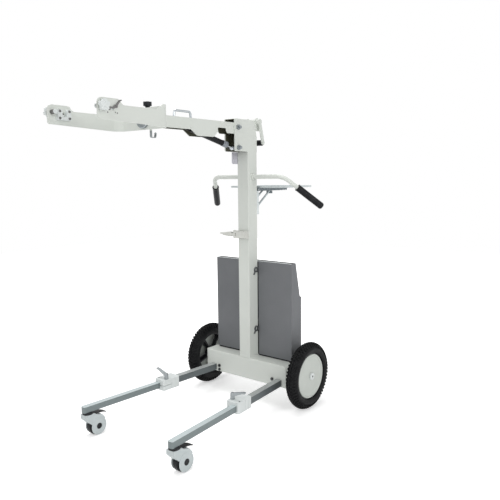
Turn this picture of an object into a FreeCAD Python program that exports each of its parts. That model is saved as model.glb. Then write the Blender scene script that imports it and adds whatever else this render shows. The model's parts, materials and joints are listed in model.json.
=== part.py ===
import FreeCAD, Part
import math
import os
import Sketcher
from FreeCAD import Rotation, Vector

# Wheeled stand for a portable x-ray head: crossbeam on two large wheels, two telescopic legs with
# braked casters, a square mast, a balanced arm and a U-shaped fork that holds the x-ray head.
# Millimetres, +Z up, the legs and the arm point to -Y, +X is the stand's left hand as it rolls forward.
# The origin is on the floor in the middle of the stand's box.

os.makedirs("parts", exist_ok=True)
doc = FreeCAD.newDocument("x_ray_stand")
sheet = doc.addObject("Spreadsheet::Sheet", "sizes")
nodes = []


class Size(float):
    """A length or angle that also knows its formula in the spreadsheet's names."""

    def __new__(cls, value, text):
        made = float.__new__(cls, value)
        made.text = text
        return made

    def __add__(self, other):
        return Size(float(self) + float(other), "(%s + %s)" % (text_of(self), text_of(other)))

    def __radd__(self, other):
        return Size(float(other) + float(self), "(%s + %s)" % (text_of(other), text_of(self)))

    def __sub__(self, other):
        return Size(float(self) - float(other), "(%s - %s)" % (text_of(self), text_of(other)))

    def __rsub__(self, other):
        return Size(float(other) - float(self), "(%s - %s)" % (text_of(other), text_of(self)))

    def __mul__(self, other):
        return Size(float(self) * float(other), "(%s * %s)" % (text_of(self), text_of(other)))

    def __rmul__(self, other):
        return Size(float(other) * float(self), "(%s * %s)" % (text_of(other), text_of(self)))

    def __truediv__(self, other):
        return Size(float(self) / float(other), "(%s / %s)" % (text_of(self), text_of(other)))

    def __neg__(self):
        return Size(-float(self), "(0 - %s)" % text_of(self))


def text_of(value):
    return value.text if isinstance(value, Size) else "%.6f" % float(value)


def size(name, value, meaning):
    """Writes one driving dimension into the sheet and gives it back with its name."""
    row = size.rows + 1
    size.rows = row
    sheet.set("A%d" % row, meaning)
    sheet.set("B%d" % row, str(value))
    sheet.setAlias("B%d" % row, name)
    return Size(value, "sizes." + name)


size.rows = 0

# Places along the stand
mast_front = size("mast_front", 268, "from the origin back to the mast's front face")
running_gap = size("running_gap", 0.05, "radial clearance of a pin in its bore")
face_gap = size("face_gap", 0.3, "clearance between faces that slide or turn past each other")

# Crossbeam
beam_width = size("beam_width", 462, "crossbeam, across")
beam_depth = size("beam_depth", 87, "crossbeam, front to back")
beam_bottom = size("beam_bottom", 97, "floor to the crossbeam's underside")
beam_height = size("beam_height", 100, "crossbeam, height")
beam_wall = size("beam_wall", 3, "crossbeam wall")
beam_round = size("beam_round", 4, "radius of the crossbeam's long edges")
end_plate = size("end_plate", 8, "thickness of the end plates that carry the stub axles")
axle_boss = size("axle_boss", 24, "radius of the boss round a stub axle")

# Rear wheels
wheel_radius = size("wheel_radius", 149, "rear wheel, 12 inch tyre")
tyre_width = size("tyre_width", 57, "rear tyre, width")
wheel_track = size("wheel_track", 584, "between the middles of the rear wheels")
axle_back = size("axle_back", 82, "mast's front face back to the rear axle")
axle_radius = size("axle_radius", 6, "stub axle")
axle_shoulder = size("axle_shoulder", 10, "shoulder of the stub axle beside the wheel")
rim_seat = size("rim_seat", 103, "radius at which the tyre sits on the rim")
rim_inner = size("rim_inner", 17, "wheel's middle plane to the rim's inner edge")
hub_radius = size("hub_radius", 24, "rim hub, outside")
hub_inner = size("hub_inner", 24, "wheel's middle plane to the hub's inner end")
hub_outer = size("hub_outer", 13, "wheel's middle plane to the hub's outer end")
spoke_count = 5
cover_radius = size("cover_radius", 98, "outer wheel cover")
cap_radius = size("cap_radius", 15, "hub cap")

# Legs and their clamps
leg_side = size("leg_side", 192, "middle of the stand to a leg's root")
leg_splay = size("leg_splay", 4.45, "each leg's splay in degrees")
leg_rise = size("leg_rise", 20, "crossbeam's underside up to the legs' middle line")
leg_height = beam_bottom + leg_rise
outer_leg = size("outer_leg", 30, "outer leg tube, square")
outer_leg_wall = size("outer_leg_wall", 2, "outer leg tube, wall")
inner_leg = size("inner_leg", 25.4, "inner leg tube, square")
inner_leg_wall = size("inner_leg_wall", 2, "inner leg tube, wall")
outer_leg_front = size("outer_leg_front", 300, "leg root to the outer tube's front end")
outer_leg_rear = size("outer_leg_rear", 80, "leg root back to the outer tube's rear end in the beam")
inner_leg_front = size("inner_leg_front", 711, "leg root to the inner tube's front end")
leg_cap = size("leg_cap", 8, "end cap of the inner tube")
inner_leg_rear = size("inner_leg_rear", 80, "leg root to the inner tube's rear end")
clamp_front = size("clamp_front", 342, "leg root to the clamp's front")
clamp_length = size("clamp_length", 92, "clamp, along the leg")
clamp_above = size("clamp_above", 25, "leg's middle line up to the clamp's top")
clamp_top = leg_height + clamp_above
clamp_below = size("clamp_below", 21, "leg's middle line down to the clamp's underside")
clamp_bottom = leg_height - clamp_below
clamp_inner = size("clamp_inner", 37, "clamp, from the tube's middle towards the stand's middle")
clamp_outer = size("clamp_outer", 24, "clamp, from the tube's middle outwards")
clamp_slit = size("clamp_slit", 2.5, "slit that the clamp screw closes")
screw_inner = size("screw_inner", 25, "tube's middle to the clamp screw")
screw_radius = size("screw_radius", 4, "M8 screw and stud")
set_screw_outer = size("set_screw_outer", 16, "tube's middle outwards to the clamp's set screw")
set_screw_front = size("set_screw_front", 17, "clamp's front back to its set screw")
lever_reach = size("lever_reach", 64, "clamp lever, from its screw to its end")
lever_rise = size("lever_rise", 40, "clamp's top to the end of its lever")

# Casters
stem_front = size("stem_front", 697, "leg root to the caster's stem")
caster_radius = size("caster_radius", 37.5, "caster wheel, 3 inch")
caster_trail = size("caster_trail", 38, "caster axle behind its stem")
tread_width = size("tread_width", 26, "caster wheel, width")
tread_depth = size("tread_depth", 8, "caster tread, thickness")
neck_radius = size("neck_radius", 21, "ring round the caster's neck")
neck_drop = size("neck_drop", 21, "leg's middle line down to the neck ring's underside")
neck_bottom = leg_height - neck_drop
stem_radius = size("stem_radius", 5.5, "caster stem")
caster_width = size("caster_width", 39, "caster fork, across")

# Mast
mast_width = size("mast_width", 61, "mast tube, across")
mast_depth = size("mast_depth", 64, "mast tube, front to back")
mast_wall = size("mast_wall", 3, "mast tube, wall")
mast_round = size("mast_round", 3, "radius of the mast's corners")
head_bottom = size("head_bottom", 1138, "floor to the head's lower edge")
head_height = size("head_height", 138, "head, from its lower edge to its top")
head_top = head_bottom + head_height
head_front = size("head_front", 86, "mast's front face to the cheeks' front edge")
head_slant_top = size("head_slant_top", 46, "mast's front face back to the head's rear top edge")
head_upright = size("head_upright", 65, "head's lower edge up to where its back starts to lean")
head_slant_bottom = head_bottom + head_upright
cheek = size("cheek", 6, "thickness of the head's cheeks")
head_plate = size("head_plate", 4, "thickness of the head's top and rear plates")

# Arm, strut and their bolts
pivot_front = size("pivot_front", 68, "mast's front face to the arm's pivot")
pivot_rise = size("pivot_rise", 102, "head's lower edge up to the arm's pivot")
pivot_height = head_bottom + pivot_rise
strut_front = size("strut_front", 66, "mast's front face to the strut's lower bolt")
strut_rise = size("strut_rise", 16, "head's lower edge up to the strut's lower bolt")
strut_height = head_bottom + strut_rise
bolt_radius = size("bolt_radius", 6, "M12 pivot bolt and strut bolt")
bolt_flats = size("bolt_flats", 19, "across the flats of the M12 head and nut")
arm_width = size("arm_width", 48, "arm channel, across")
arm_above = size("arm_above", 19, "pivot up to the arm's top")
arm_top = pivot_height + arm_above
arm_wall = size("arm_wall", 3, "arm channel, wall")
arm_front = size("arm_front", 530, "mast's front face to the arm channel's front end")
arm_rear = size("arm_rear", 44, "mast's front face to the arm channel's rear end")
arm_below = size("arm_below", 25, "pivot down to the arm's lower edge in front")
arm_lower = pivot_height - arm_below
notch_front = size("notch_front", 128, "mast's front face to the rear of the notch in the arm's lower edge")
belly_rear = size("belly_rear", 190, "mast's front face to the rear of the arm's belly")
belly_front = size("belly_front", 347, "mast's front face to the front of the arm's belly")
belly_drop = size("belly_drop", 48, "pivot down to the arm's belly")
belly_low = pivot_height - belly_drop
handle_front = size("handle_front", 416, "mast's front face to the carrying handle's front foot")
handle_span = size("handle_span", 92, "between the feet of the carrying handle")
strut_top_front = size("strut_top_front", 350, "mast's front face to the strut's upper pin")
strut_top_drop = size("strut_top_drop", 15, "arm's pivot down to the strut's upper pin")
strut_top_height = pivot_height - strut_top_drop
strut_pin = size("strut_pin", 4, "strut's upper pin, radius")
strut_eye_gap = size("strut_eye_gap", 4, "play of the strut's upper eye round its pin")
cylinder_radius = size("cylinder_radius", 12, "strut's cylinder")
cylinder_start = size("cylinder_start", 42, "strut's lower bolt to the cylinder's lower end")
collar_length = size("collar_length", 32, "knurled collar")
collar_radius = size("collar_radius", 13, "knurled collar")
rod_radius = size("rod_radius", 5, "strut's rod")
rod_length = size("rod_length", 190, "strut's rod")

# Roll joint and fork
back_plate_lead = size("back_plate_lead", 41, "arm's front end to the front of the fork's back plate")
back_plate_front = arm_front + back_plate_lead
fork_wall = size("fork_wall", 4, "fork plate, thickness")
fork_half = size("fork_half", 138, "middle of the fork to a side plate's outer face")
fork_bend = size("fork_bend", 36, "outer radius of the fork's bends")
fork_length = size("fork_length", 306, "front of the fork's back plate to the fork's front edge")
fork_front = back_plate_front + fork_length
roll_drop = size("roll_drop", 3, "arm's pivot down to the roll axis")
roll_height = pivot_height - roll_drop
fork_above = size("fork_above", 42, "roll axis up to the top of the fork's back section")
fork_top = roll_height + fork_above
fork_below = size("fork_below", 36, "roll axis down to the underside of the fork's back section")
fork_bottom = roll_height - fork_below
fork_rib_above = size("fork_rib_above", 22, "roll axis up to the side plates' top in their middle")
fork_rib_top = roll_height + fork_rib_above
fork_tip_below = size("fork_tip_below", 26, "roll axis down to the side plates' underside at the tip")
fork_tip_bottom = roll_height - fork_tip_below
fork_tip_length = size("fork_tip_length", 105, "fork's front edge back to where its sides are lower")
roll_disc = size("roll_disc", 31, "disc on the roll spindle, radius")
roll_disc_depth = size("roll_disc_depth", 10, "disc on the roll spindle, thickness")
spindle_radius = size("spindle_radius", 10, "roll spindle")
housing_length = size("housing_length", 25, "roll housing, inside the arm channel")
housing_rear = arm_front - housing_length
knob_lead = size("knob_lead", 19, "arm's front end to the roll lock knob")
knob_front = arm_front + knob_lead
knob_radius = size("knob_radius", 15.5, "roll lock knob")
knob_rise = size("knob_rise", 24, "arm's top up to the roll lock knob's underside")
knob_bottom = arm_top + knob_rise
knob_height = size("knob_height", 20, "roll lock knob, height")

# Trunnion saddles and tip clamps
trunnion_back = size("trunnion_back", 59, "fork's front edge back to the trunnions' middle")
trunnion_front = fork_front - trunnion_back
trunnion_rise = size("trunnion_rise", 9, "roll axis up to the trunnions' middle")
trunnion_height = roll_height + trunnion_rise
trunnion_radius = size("trunnion_radius", 9, "saddle notch, radius")
saddle_length = size("saddle_length", 52, "saddle block, along the fork")
saddle_below = size("saddle_below", 20, "trunnions' middle down to the saddle's underside")
saddle_bottom = trunnion_height - saddle_below
saddle_above = size("saddle_above", 16, "trunnions' middle up to the saddle's top")
saddle_top = trunnion_height + saddle_above
saddle_depth = size("saddle_depth", 14, "saddle block, thickness")
tip_back = size("tip_back", 17, "fork's front edge back to the tip clamps")
tip_front = fork_front - tip_back
tip_rise = size("tip_rise", 15, "roll axis up to the tip clamps")
tip_height = roll_height + tip_rise
tip_knob_radius = size("tip_knob_radius", 18, "tip clamp knob")
bush_radius = size("bush_radius", 8, "bush of a tip clamp")
bush_length = size("bush_length", 16, "bush of a tip clamp, inside the fork")

# Handlebar
bar_height = size("bar_height", 1028, "floor to the handlebar's straight part")
bar_radius = size("bar_radius", 9.5, "handlebar tube")
bar_wall = size("bar_wall", 2, "handlebar tube, wall")
bar_corner = size("bar_corner", 198, "middle of the mast to the handlebar's corner")
bar_bend = size("bar_bend", 60, "radius of the handlebar's bend")
bar_out = size("bar_out", 107, "corner to the handlebar's end, outwards")
bar_back = size("bar_back", 138, "corner to the handlebar's end, backwards")
bar_drop = size("bar_drop", 131, "corner to the handlebar's end, downwards")
grip_length = size("grip_length", 138, "rubber grip")
grip_radius = size("grip_radius", 15, "rubber grip")
socket_radius = size("socket_radius", 15, "welded socket round the handlebar")
socket_length = size("socket_length", 9, "welded socket, outside the mast")

# Detector bin
bin_width = size("bin_width", 438, "detector bin, across")
bin_clear = size("bin_clear", 7, "crossbeam's top up to the bin's underside")
bin_bottom = beam_bottom + beam_height + bin_clear
bin_height = size("bin_height", 441, "bin, from its underside to its rim")
bin_top = bin_bottom + bin_height
bin_throat = size("bin_throat", 33, "bin, depth at its rim")
bin_depth = size("bin_depth", 78, "bin, depth at its foot")
bin_step_drop = size("bin_step_drop", 160, "bin's rim down to the step in its back")
bin_step = bin_top - bin_step_drop
bin_wall = size("bin_wall", 1.5, "bin, sheet thickness")

# Folding tray
tray_width = size("tray_width", 300, "tray, across")
tray_length = size("tray_length", 253, "tray, front to back")
tray_height = size("tray_height", 978, "floor to the tray's underside")
tray_start = size("tray_start", 87, "mast's front face back to the tray's front edge")
tray_rim = size("tray_rim", 8, "tray's rim")
tray_corner = size("tray_corner", 12, "radius of the tray's corners")
tray_sheet = size("tray_sheet", 1.6, "tray's sheet")
bracket_side = size("bracket_side", 21, "middle of the mast to a tray bracket")
bracket_width = size("bracket_width", 14, "wall bracket, across")
bracket_depth = size("bracket_depth", 16, "wall bracket, from the mast's rear face")
bracket_height = size("bracket_height", 120, "tray's underside down to the wall brackets' underside")
bracket_bottom = tray_height - bracket_height
bracket_sheet = size("bracket_sheet", 1.5, "sheet of brackets and tray arms")
tray_pivot_back = size("tray_pivot_back", 12, "mast's rear face back to the tray's pivots")
tray_pivot_drop = size("tray_pivot_drop", 9, "tray's underside down to its pivots")
strut_drop = size("strut_drop", 75, "tray's pivot down to the tray strut's pivot")
tray_arm_end = size("tray_arm_end", 302, "mast's front face back to the tray arms' ends")
strut_hold = size("strut_hold", 104, "tray's pivot back to where its strut holds it")
tray_pin = size("tray_pin", 2.5, "pins of the tray")

# Accessory clamp, clips, cable tab and rear bail
acc_bottom = size("acc_bottom", 753, "floor to the accessory clamp's underside")
acc_height = size("acc_height", 34, "accessory clamp, height")
acc_depth = size("acc_depth", 18, "accessory clamp, in front of the mast")
acc_pin_side = size("acc_pin_side", 43, "middle of the mast to the jaw's pin")
acc_reach = size("acc_reach", 84, "jaw's pin to its tip")
clip_radius = size("clip_radius", 12.5, "cable clip")
clip_back = size("clip_back", 47, "mast's front face back to the cable clips")
upper_clip = size("upper_clip", 606, "floor to the upper cable clip")
lower_clip = size("lower_clip", 330, "floor to the lower cable clip")
tab_front = size("tab_front", 35, "cable tab, in front of the mast")
tab_length = size("tab_length", 53, "head's lower edge down to the cable tab's underside")
tab_bottom = head_bottom - tab_length
bail_back = size("bail_back", 72, "mast's front face back to the bail's hinge")
bail_drop = size("bail_drop", 5, "head's top down to the bail's hinge")
bail_height = head_top - bail_drop
bail_side = size("bail_side", 38, "middle of the mast to a bail arm's inner face")
bail_arm = size("bail_arm", 6, "bail arm, thickness")
bail_width = size("bail_width", 8.5, "half the width of a bail arm")
bail_hub = size("bail_hub", 12, "bail's hinge tube")
roller_back = size("roller_back", 96, "mast's front face back to the roller")
roller_drop = size("roller_drop", 91, "bail's hinge down to the roller")
roller_height = bail_height - roller_drop
roller_radius = size("roller_radius", 13, "rubber roller")


def behind(distance):
    """A place that far behind the mast's front face."""
    return mast_front + distance


def ahead(distance):
    """A place that far in front of the mast's front face."""
    return mast_front - distance


# Tools for sketches and features
PLANES = {"x": "YZ_Plane", "y": "XZ_Plane", "z": "XY_Plane"}


def node(thing, label):
    """Lists a finished piece under the name of its file."""
    thing.Label = label
    nodes.append((label, thing))
    return thing


def body(label):
    return doc.addObject("PartDesign::Body", label)


def origin_feature(owner, role):
    return [found for found in owner.Origin.OriginFeatures if found.Role == role][0]


def sketch_on(owner, axis, offset):
    drawing = owner.newObject("Sketcher::SketchObject", "drawing")
    drawing.AttachmentSupport = (origin_feature(owner, PLANES[axis]), "")
    drawing.MapMode = "FlatFace"
    drawing.setExpression("AttachmentOffset.Base.z", text_of(offset))
    return drawing


def draw_outline(drawing, points):
    """Closed outline; every corner is tied to the origin by two dimensions."""
    first = drawing.GeometryCount
    count = len(points)
    for index, point in enumerate(points):
        follower = points[(index + 1) % count]
        start = Vector(float(point[0]), float(point[1]), 0)
        end = Vector(float(follower[0]), float(follower[1]), 0)
        drawing.addGeometry(Part.LineSegment(start, end), False)
    for index in range(count):
        follower = first + (index + 1) % count
        drawing.addConstraint(Sketcher.Constraint("Coincident", first + index, 2, follower, 1))
    for index, point in enumerate(points):
        for kind, value in (("DistanceX", point[0]), ("DistanceY", point[1])):
            held = drawing.addConstraint(Sketcher.Constraint(kind, first + index, 1, float(value)))
            drawing.setExpression("Constraints[%d]" % held, text_of(value))


def draw_circle(drawing, across, along, radius):
    middle = Vector(float(across), float(along), 0)
    ring = drawing.addGeometry(Part.Circle(middle, Vector(0, 0, 1), float(radius)), False)
    for kind, value in (("DistanceX", across), ("DistanceY", along)):
        held = drawing.addConstraint(Sketcher.Constraint(kind, ring, 3, float(value)))
        drawing.setExpression("Constraints[%d]" % held, text_of(value))
    held = drawing.addConstraint(Sketcher.Constraint("Radius", ring, float(radius)))
    drawing.setExpression("Constraints[%d]" % held, text_of(radius))


def rectangle(low_u, high_u, low_v, high_v):
    return [(low_u, low_v), (high_u, low_v), (high_u, high_v), (low_u, high_v)]


def prism(owner, axis, low, high, outlines=(), circles=(), cut=False):
    """Adds or cuts a straight prism between two places along an axis of the body."""
    towards_minus = axis == "y"
    if cut:
        offset = -low if towards_minus else high
    else:
        offset = -high if towards_minus else low
    drawing = sketch_on(owner, axis, offset)
    for points in outlines:
        draw_outline(drawing, points)
    for circle in circles:
        draw_circle(drawing, *circle)
    feature = owner.newObject("PartDesign::Pocket" if cut else "PartDesign::Pad", "prism")
    feature.Profile = drawing
    feature.setExpression("Length", text_of(high - low))
    return feature


def cut_prism(owner, axis, low, high, outlines=(), circles=()):
    return prism(owner, axis, low, high, outlines, circles, cut=True)


def turned(owner, points, cut=False):
    """Turns an outline of (radius, height) about the body's own Z axis."""
    drawing = sketch_on(owner, "y", 0)
    draw_outline(drawing, points)
    feature = owner.newObject("PartDesign::Groove" if cut else "PartDesign::Revolution", "turned")
    feature.Profile = drawing
    feature.ReferenceAxis = (drawing, ["V_Axis"])
    feature.Angle = 360
    return feature


def round_edges(owner, radius, wanted):
    """Rounds the edges of the body's last feature for which wanted(edge) is true."""
    doc.recompute()
    last = owner.Tip
    names = ["Edge%d" % (index + 1) for index, edge in enumerate(last.Shape.Edges) if wanted(edge)]
    rounding = owner.newObject("PartDesign::Fillet", "rounding")
    rounding.Base = (last, names)
    rounding.setExpression("Radius", text_of(radius))
    return rounding


def runs_along(axis):
    """Test for straight edges along an axis."""
    direction = {"x": Vector(1, 0, 0), "y": Vector(0, 1, 0), "z": Vector(0, 0, 1)}[axis]

    def test(edge):
        if edge.Curve.TypeId != "Part::GeomLine":
            return False
        return abs(abs(edge.Curve.Direction.dot(direction)) - 1) < 1e-6

    return test


def corner_at(axis, *corners):
    """Test for straight edges along an axis that pass through one of the corners."""
    straight = runs_along(axis)
    keep = {"x": (1, 2), "y": (0, 2), "z": (0, 1)}[axis]

    def test(edge):
        if not straight(edge):
            return False
        spot = edge.CenterOfMass
        for corner in corners:
            across = abs(spot[keep[0]] - float(corner[0]))
            along = abs(spot[keep[1]] - float(corner[1]))
            if across < 0.01 and along < 0.01:
                return True
        return False

    return test


def polar(owner, features, count):
    """Repeats features round the body's own Z axis."""
    pattern = owner.newObject("PartDesign::PolarPattern", "pattern")
    pattern.Originals = features
    pattern.Axis = (origin_feature(owner, "Z_Axis"), [""])
    pattern.Angle = 360
    pattern.Occurrences = count
    owner.Tip = pattern
    return pattern


def place(thing, across, along, height, turn=None):
    """Puts a piece at its place; its three coordinates stay tied to the sheet."""
    if turn is not None:
        thing.Placement = FreeCAD.Placement(Vector(0, 0, 0), turn)
    thing.setExpression("Placement.Base.x", text_of(across))
    thing.setExpression("Placement.Base.y", text_of(along))
    thing.setExpression("Placement.Base.z", text_of(height))
    return thing


def rod(label, radius, length):
    piece = doc.addObject("Part::Cylinder", label)
    piece.setExpression("Radius", text_of(radius))
    piece.setExpression("Height", text_of(length))
    return piece


def hexagon(label, flats, length):
    piece = doc.addObject("Part::Prism", label)
    piece.Polygon = 6
    piece.setExpression("Circumradius", text_of(flats / math.sqrt(3)))
    piece.setExpression("Height", text_of(length))
    return piece


def fused(label, pieces):
    joined = doc.addObject("Part::MultiFuse", label)
    joined.Shapes = pieces
    joined.Refine = True
    return joined


def without(label, base, tool):
    left = doc.addObject("Part::Cut", label)
    left.Base = base
    left.Tool = tool
    return left


def group(label, pieces):
    """Several separate solids that share one node."""
    held = doc.addObject("Part::Compound", label)
    held.Links = pieces
    return node(held, label)


def cosine(angle):
    return Size(math.cos(math.radians(angle)), "cos(%s * 1 deg)" % text_of(angle))


def sine(angle):
    return Size(math.sin(math.radians(angle)), "sin(%s * 1 deg)" % text_of(angle))


ALONG_X = Rotation(Vector(0, 1, 0), 90)
AGAINST_X = Rotation(Vector(0, 1, 0), -90)
ALONG_Y = Rotation(Vector(1, 0, 0), -90)
SIDES = (("left", -1), ("right", 1))


def facing(side):
    """Rotation that turns a piece's own Z axis outwards on that side."""
    return ALONG_X if side > 0 else AGAINST_X


def bolt(label, radius, flats, head, shank):
    """Bolt with its head below its own origin plane and its shank upwards."""
    cap = hexagon(label + "_head", flats, head)
    place(cap, 0, 0, -head)
    stem = rod(label + "_shank", radius, shank)
    return fused(label, [cap, stem])


# Crossbeam with its end plates
def make_crossbeam():
    beam = body("crossbeam")
    half = beam_width / 2
    top = beam_bottom + beam_height
    front, rear = behind(0), behind(beam_depth)
    prism(beam, "x", -half, half, [rectangle(front, rear, beam_bottom, top)])
    corners = [(front, beam_bottom), (rear, beam_bottom), (front, top), (rear, top)]
    round_edges(beam, beam_round, corner_at("x", *corners))
    inner = rectangle(front + beam_wall, rear - beam_wall, beam_bottom + beam_wall, top - beam_wall)
    cut_prism(beam, "x", -half, half, [inner])
    for side, start, end in ((-1, -half - end_plate, -half), (1, half, half + end_plate)):
        prism(beam, "x", start, end, [rectangle(front + beam_round, rear, beam_bottom, top)])
        prism(beam, "x", start, end, circles=[(behind(axle_back), wheel_radius, axle_boss)])
        stem = (behind(axle_back), wheel_radius, axle_radius + running_gap)
        cut_prism(beam, "x", start, end, circles=[stem])
    slack = outer_leg / 2 + 0.7
    low, high = leg_height - slack, leg_height + slack
    openings = [rectangle(side * leg_side - slack, side * leg_side + slack, low, high) for name, side in SIDES]
    cut_prism(beam, "y", front, front + beam_wall, openings)
    cut_prism(beam, "y", front, front + beam_wall, circles=root_bolts(screw_radius + running_gap))
    return node(beam, "crossbeam")


def root_bolts(radius):
    """Places of the two bolts inwards of each leg's root."""
    across = leg_side - outer_leg - 5
    spots = []
    for name, side in SIDES:
        for height in (leg_height + 10, leg_height - 9):
            spots.append((side * across, height, radius))
    return spots


def make_frame_bolts():
    pieces = []
    for number, (across, height, radius) in enumerate(root_bolts(screw_radius)):
        piece = bolt("root_bolt_%d" % number, screw_radius, 13, 5, 16)
        place(piece, across, mast_front, height, ALONG_Y)
        pieces.append(piece)
    for name, side in SIDES:
        start = leg_height + outer_leg / 2 + face_gap
        piece = rod("set_screw_" + name, 3, clamp_top - start + 0.8)
        across, along = on_leg(side, side * set_screw_outer, set_screw_front - clamp_front)
        place(piece, across, along, start)
        pieces.append(piece)
    return group("frame_bolts", pieces)


def on_leg(side, across, along):
    """Place in the stand of a point given beside and along a leg that is turned by its splay."""
    turned_across = across * cosine(leg_splay) - side * along * sine(leg_splay)
    turned_along = side * across * sine(leg_splay) + along * cosine(leg_splay)
    return side * leg_side + turned_across, mast_front + turned_along


# Rear wheels
def make_stub_axles():
    """Axles pressed into the end plates, each with the push nut that keeps its wheel on."""
    pieces = []
    inner = beam_width / 2
    middle = wheel_track / 2
    shoulder_end = middle - hub_inner - face_gap
    nut = middle + hub_outer + face_gap
    for name, side in SIDES:
        axle = body("stub_axle_" + name)
        points = [(0, inner), (axle_radius, inner), (axle_radius, inner + end_plate)]
        points += [(axle_shoulder, inner + end_plate), (axle_shoulder, shoulder_end)]
        points += [(axle_radius, shoulder_end), (axle_radius, nut + 2.5), (0, nut + 2.5)]
        turned(axle, points)
        place(axle, 0, behind(axle_back), wheel_radius, facing(side))
        washer = body("push_nut_" + name)
        bore = axle_radius + running_gap
        turned(washer, [(bore, nut), (bore + 5, nut), (bore + 5, nut + 1.2), (bore, nut + 1.2)])
        place(washer, 0, behind(axle_back), wheel_radius, facing(side))
        pieces += [axle, washer]
    return group("stub_axles", pieces)


def wheel_place(thing, side):
    return place(thing, side * wheel_track / 2, behind(axle_back), wheel_radius, facing(side))


def make_tyre(name, side):
    """Balloon tyre: a ring of round section, cut flat where it sits on the rim."""
    section = tyre_width / 2
    tyre = doc.addObject("Part::Torus", "tyre_ring_" + name)
    tyre.setExpression("Radius1", text_of(wheel_radius - section))
    tyre.setExpression("Radius2", text_of(section))
    well = rod("tyre_well_" + name, rim_seat, tyre_width)
    place(well, 0, 0, -section)
    ring = without("tyre_" + name, tyre, well)
    return node(wheel_place(ring, side), "tyre_" + name)


def make_rim(name, side):
    """Rim band, a web cut into five ribbed spokes, and a hub; the cover lies against its outer face."""
    rim = body("rim_" + name)
    seat = rim_seat - face_gap
    band = seat - 11
    web, floor = 3, hub_outer
    bore = axle_radius + running_gap
    points = [(bore, -hub_inner), (hub_radius - 2, -hub_inner), (hub_radius, -web), (band, -web)]
    points += [(band + 2, -rim_inner), (seat, -rim_inner), (seat, floor), (band, floor)]
    points += [(band, web), (hub_radius, web), (hub_radius, floor), (bore, floor)]
    turned(rim, points)
    inner, outer = hub_radius + 8, band - 4
    window = [(inner, -11), (outer - 6, -44), (outer, -22), (outer, 22), (outer - 6, 44), (inner, 11)]
    opening = cut_prism(rim, "z", -web, web, [window])
    polar(rim, [opening], spoke_count)
    rib = prism(rim, "z", -rim_inner + 3, web, [rectangle(-band - 1, -hub_radius + 3, -3, 3)])
    polar(rim, [rib], spoke_count)
    return node(wheel_place(rim, side), "rim_" + name)


def make_wheel_cover(name, side):
    """Dished disc with a raised rim, and a snap-in hub cap over the axle's end."""
    low = hub_outer + face_gap
    disc = body("wheel_disc_" + name)
    hole = cap_radius - 2
    points = [(hole, low + 3), (cover_radius - 10, low), (cover_radius, low), (cover_radius, low + 4)]
    points += [(cover_radius - 2, low + 6), (cover_radius - 7, low + 6), (cover_radius - 10, low + 2.5)]
    points += [(hole, low + 5.5)]
    turned(disc, points)
    cap = body("hub_cap_" + name)
    seat, crown = low + 5.5 + face_gap, low + 14
    inside = axle_radius + 7
    points = [(inside - 3, seat - 2.5), (hole - face_gap, seat - 2.5), (hole - face_gap, seat)]
    points.append((cap_radius, seat))
    points += [(cap_radius, crown - 2), (cap_radius - 2, crown), (5, crown), (5, crown - 3), (0, crown - 3)]
    points += [(0, crown - 5), (inside - 3, crown - 5)]
    turned(cap, points)
    return group("wheel_cover_" + name, [wheel_place(disc, side), wheel_place(cap, side)])


# Legs. Each is built along its own -Y axis and turned outwards by its splay.
def leg_place(thing, side):
    turn = Rotation(Vector(0, 0, 1), side * float(leg_splay))
    return place(thing, side * leg_side, mast_front, leg_height, turn)


def square(half):
    return rectangle(-half, half, -half, half)


def make_outer_leg(name, side):
    tube = body("outer_leg_" + name)
    half = outer_leg / 2
    prism(tube, "y", -outer_leg_front, outer_leg_rear, [square(half)])
    round_edges(tube, 1.5, runs_along("y"))
    cut_prism(tube, "y", -outer_leg_front, outer_leg_rear, [square(half - outer_leg_wall)])
    leg_place(tube, side)
    return node(tube, "outer_leg_" + name)


def make_inner_leg(name, side):
    """Inner tube with its end plug."""
    half = inner_leg / 2
    inside = half - inner_leg_wall
    tube = body("inner_tube_" + name)
    prism(tube, "y", -inner_leg_front, -inner_leg_rear, [square(half)])
    round_edges(tube, 1.2, runs_along("y"))
    cut_prism(tube, "y", -inner_leg_front, -inner_leg_rear, [square(inside)])
    leg_place(tube, side)
    plug = body("end_plug_" + name)
    prism(plug, "y", -inner_leg_front - leg_cap, -inner_leg_front, [square(half)])
    nose = -inner_leg_front - leg_cap
    round_edges(plug, leg_cap - 1, corner_at("z", (-half, nose), (half, nose)))
    prism(plug, "y", -inner_leg_front, -inner_leg_front + 14, [square(inside - 0.1)])
    leg_place(plug, side)
    return group("inner_leg_" + name, [tube, plug])


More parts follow.
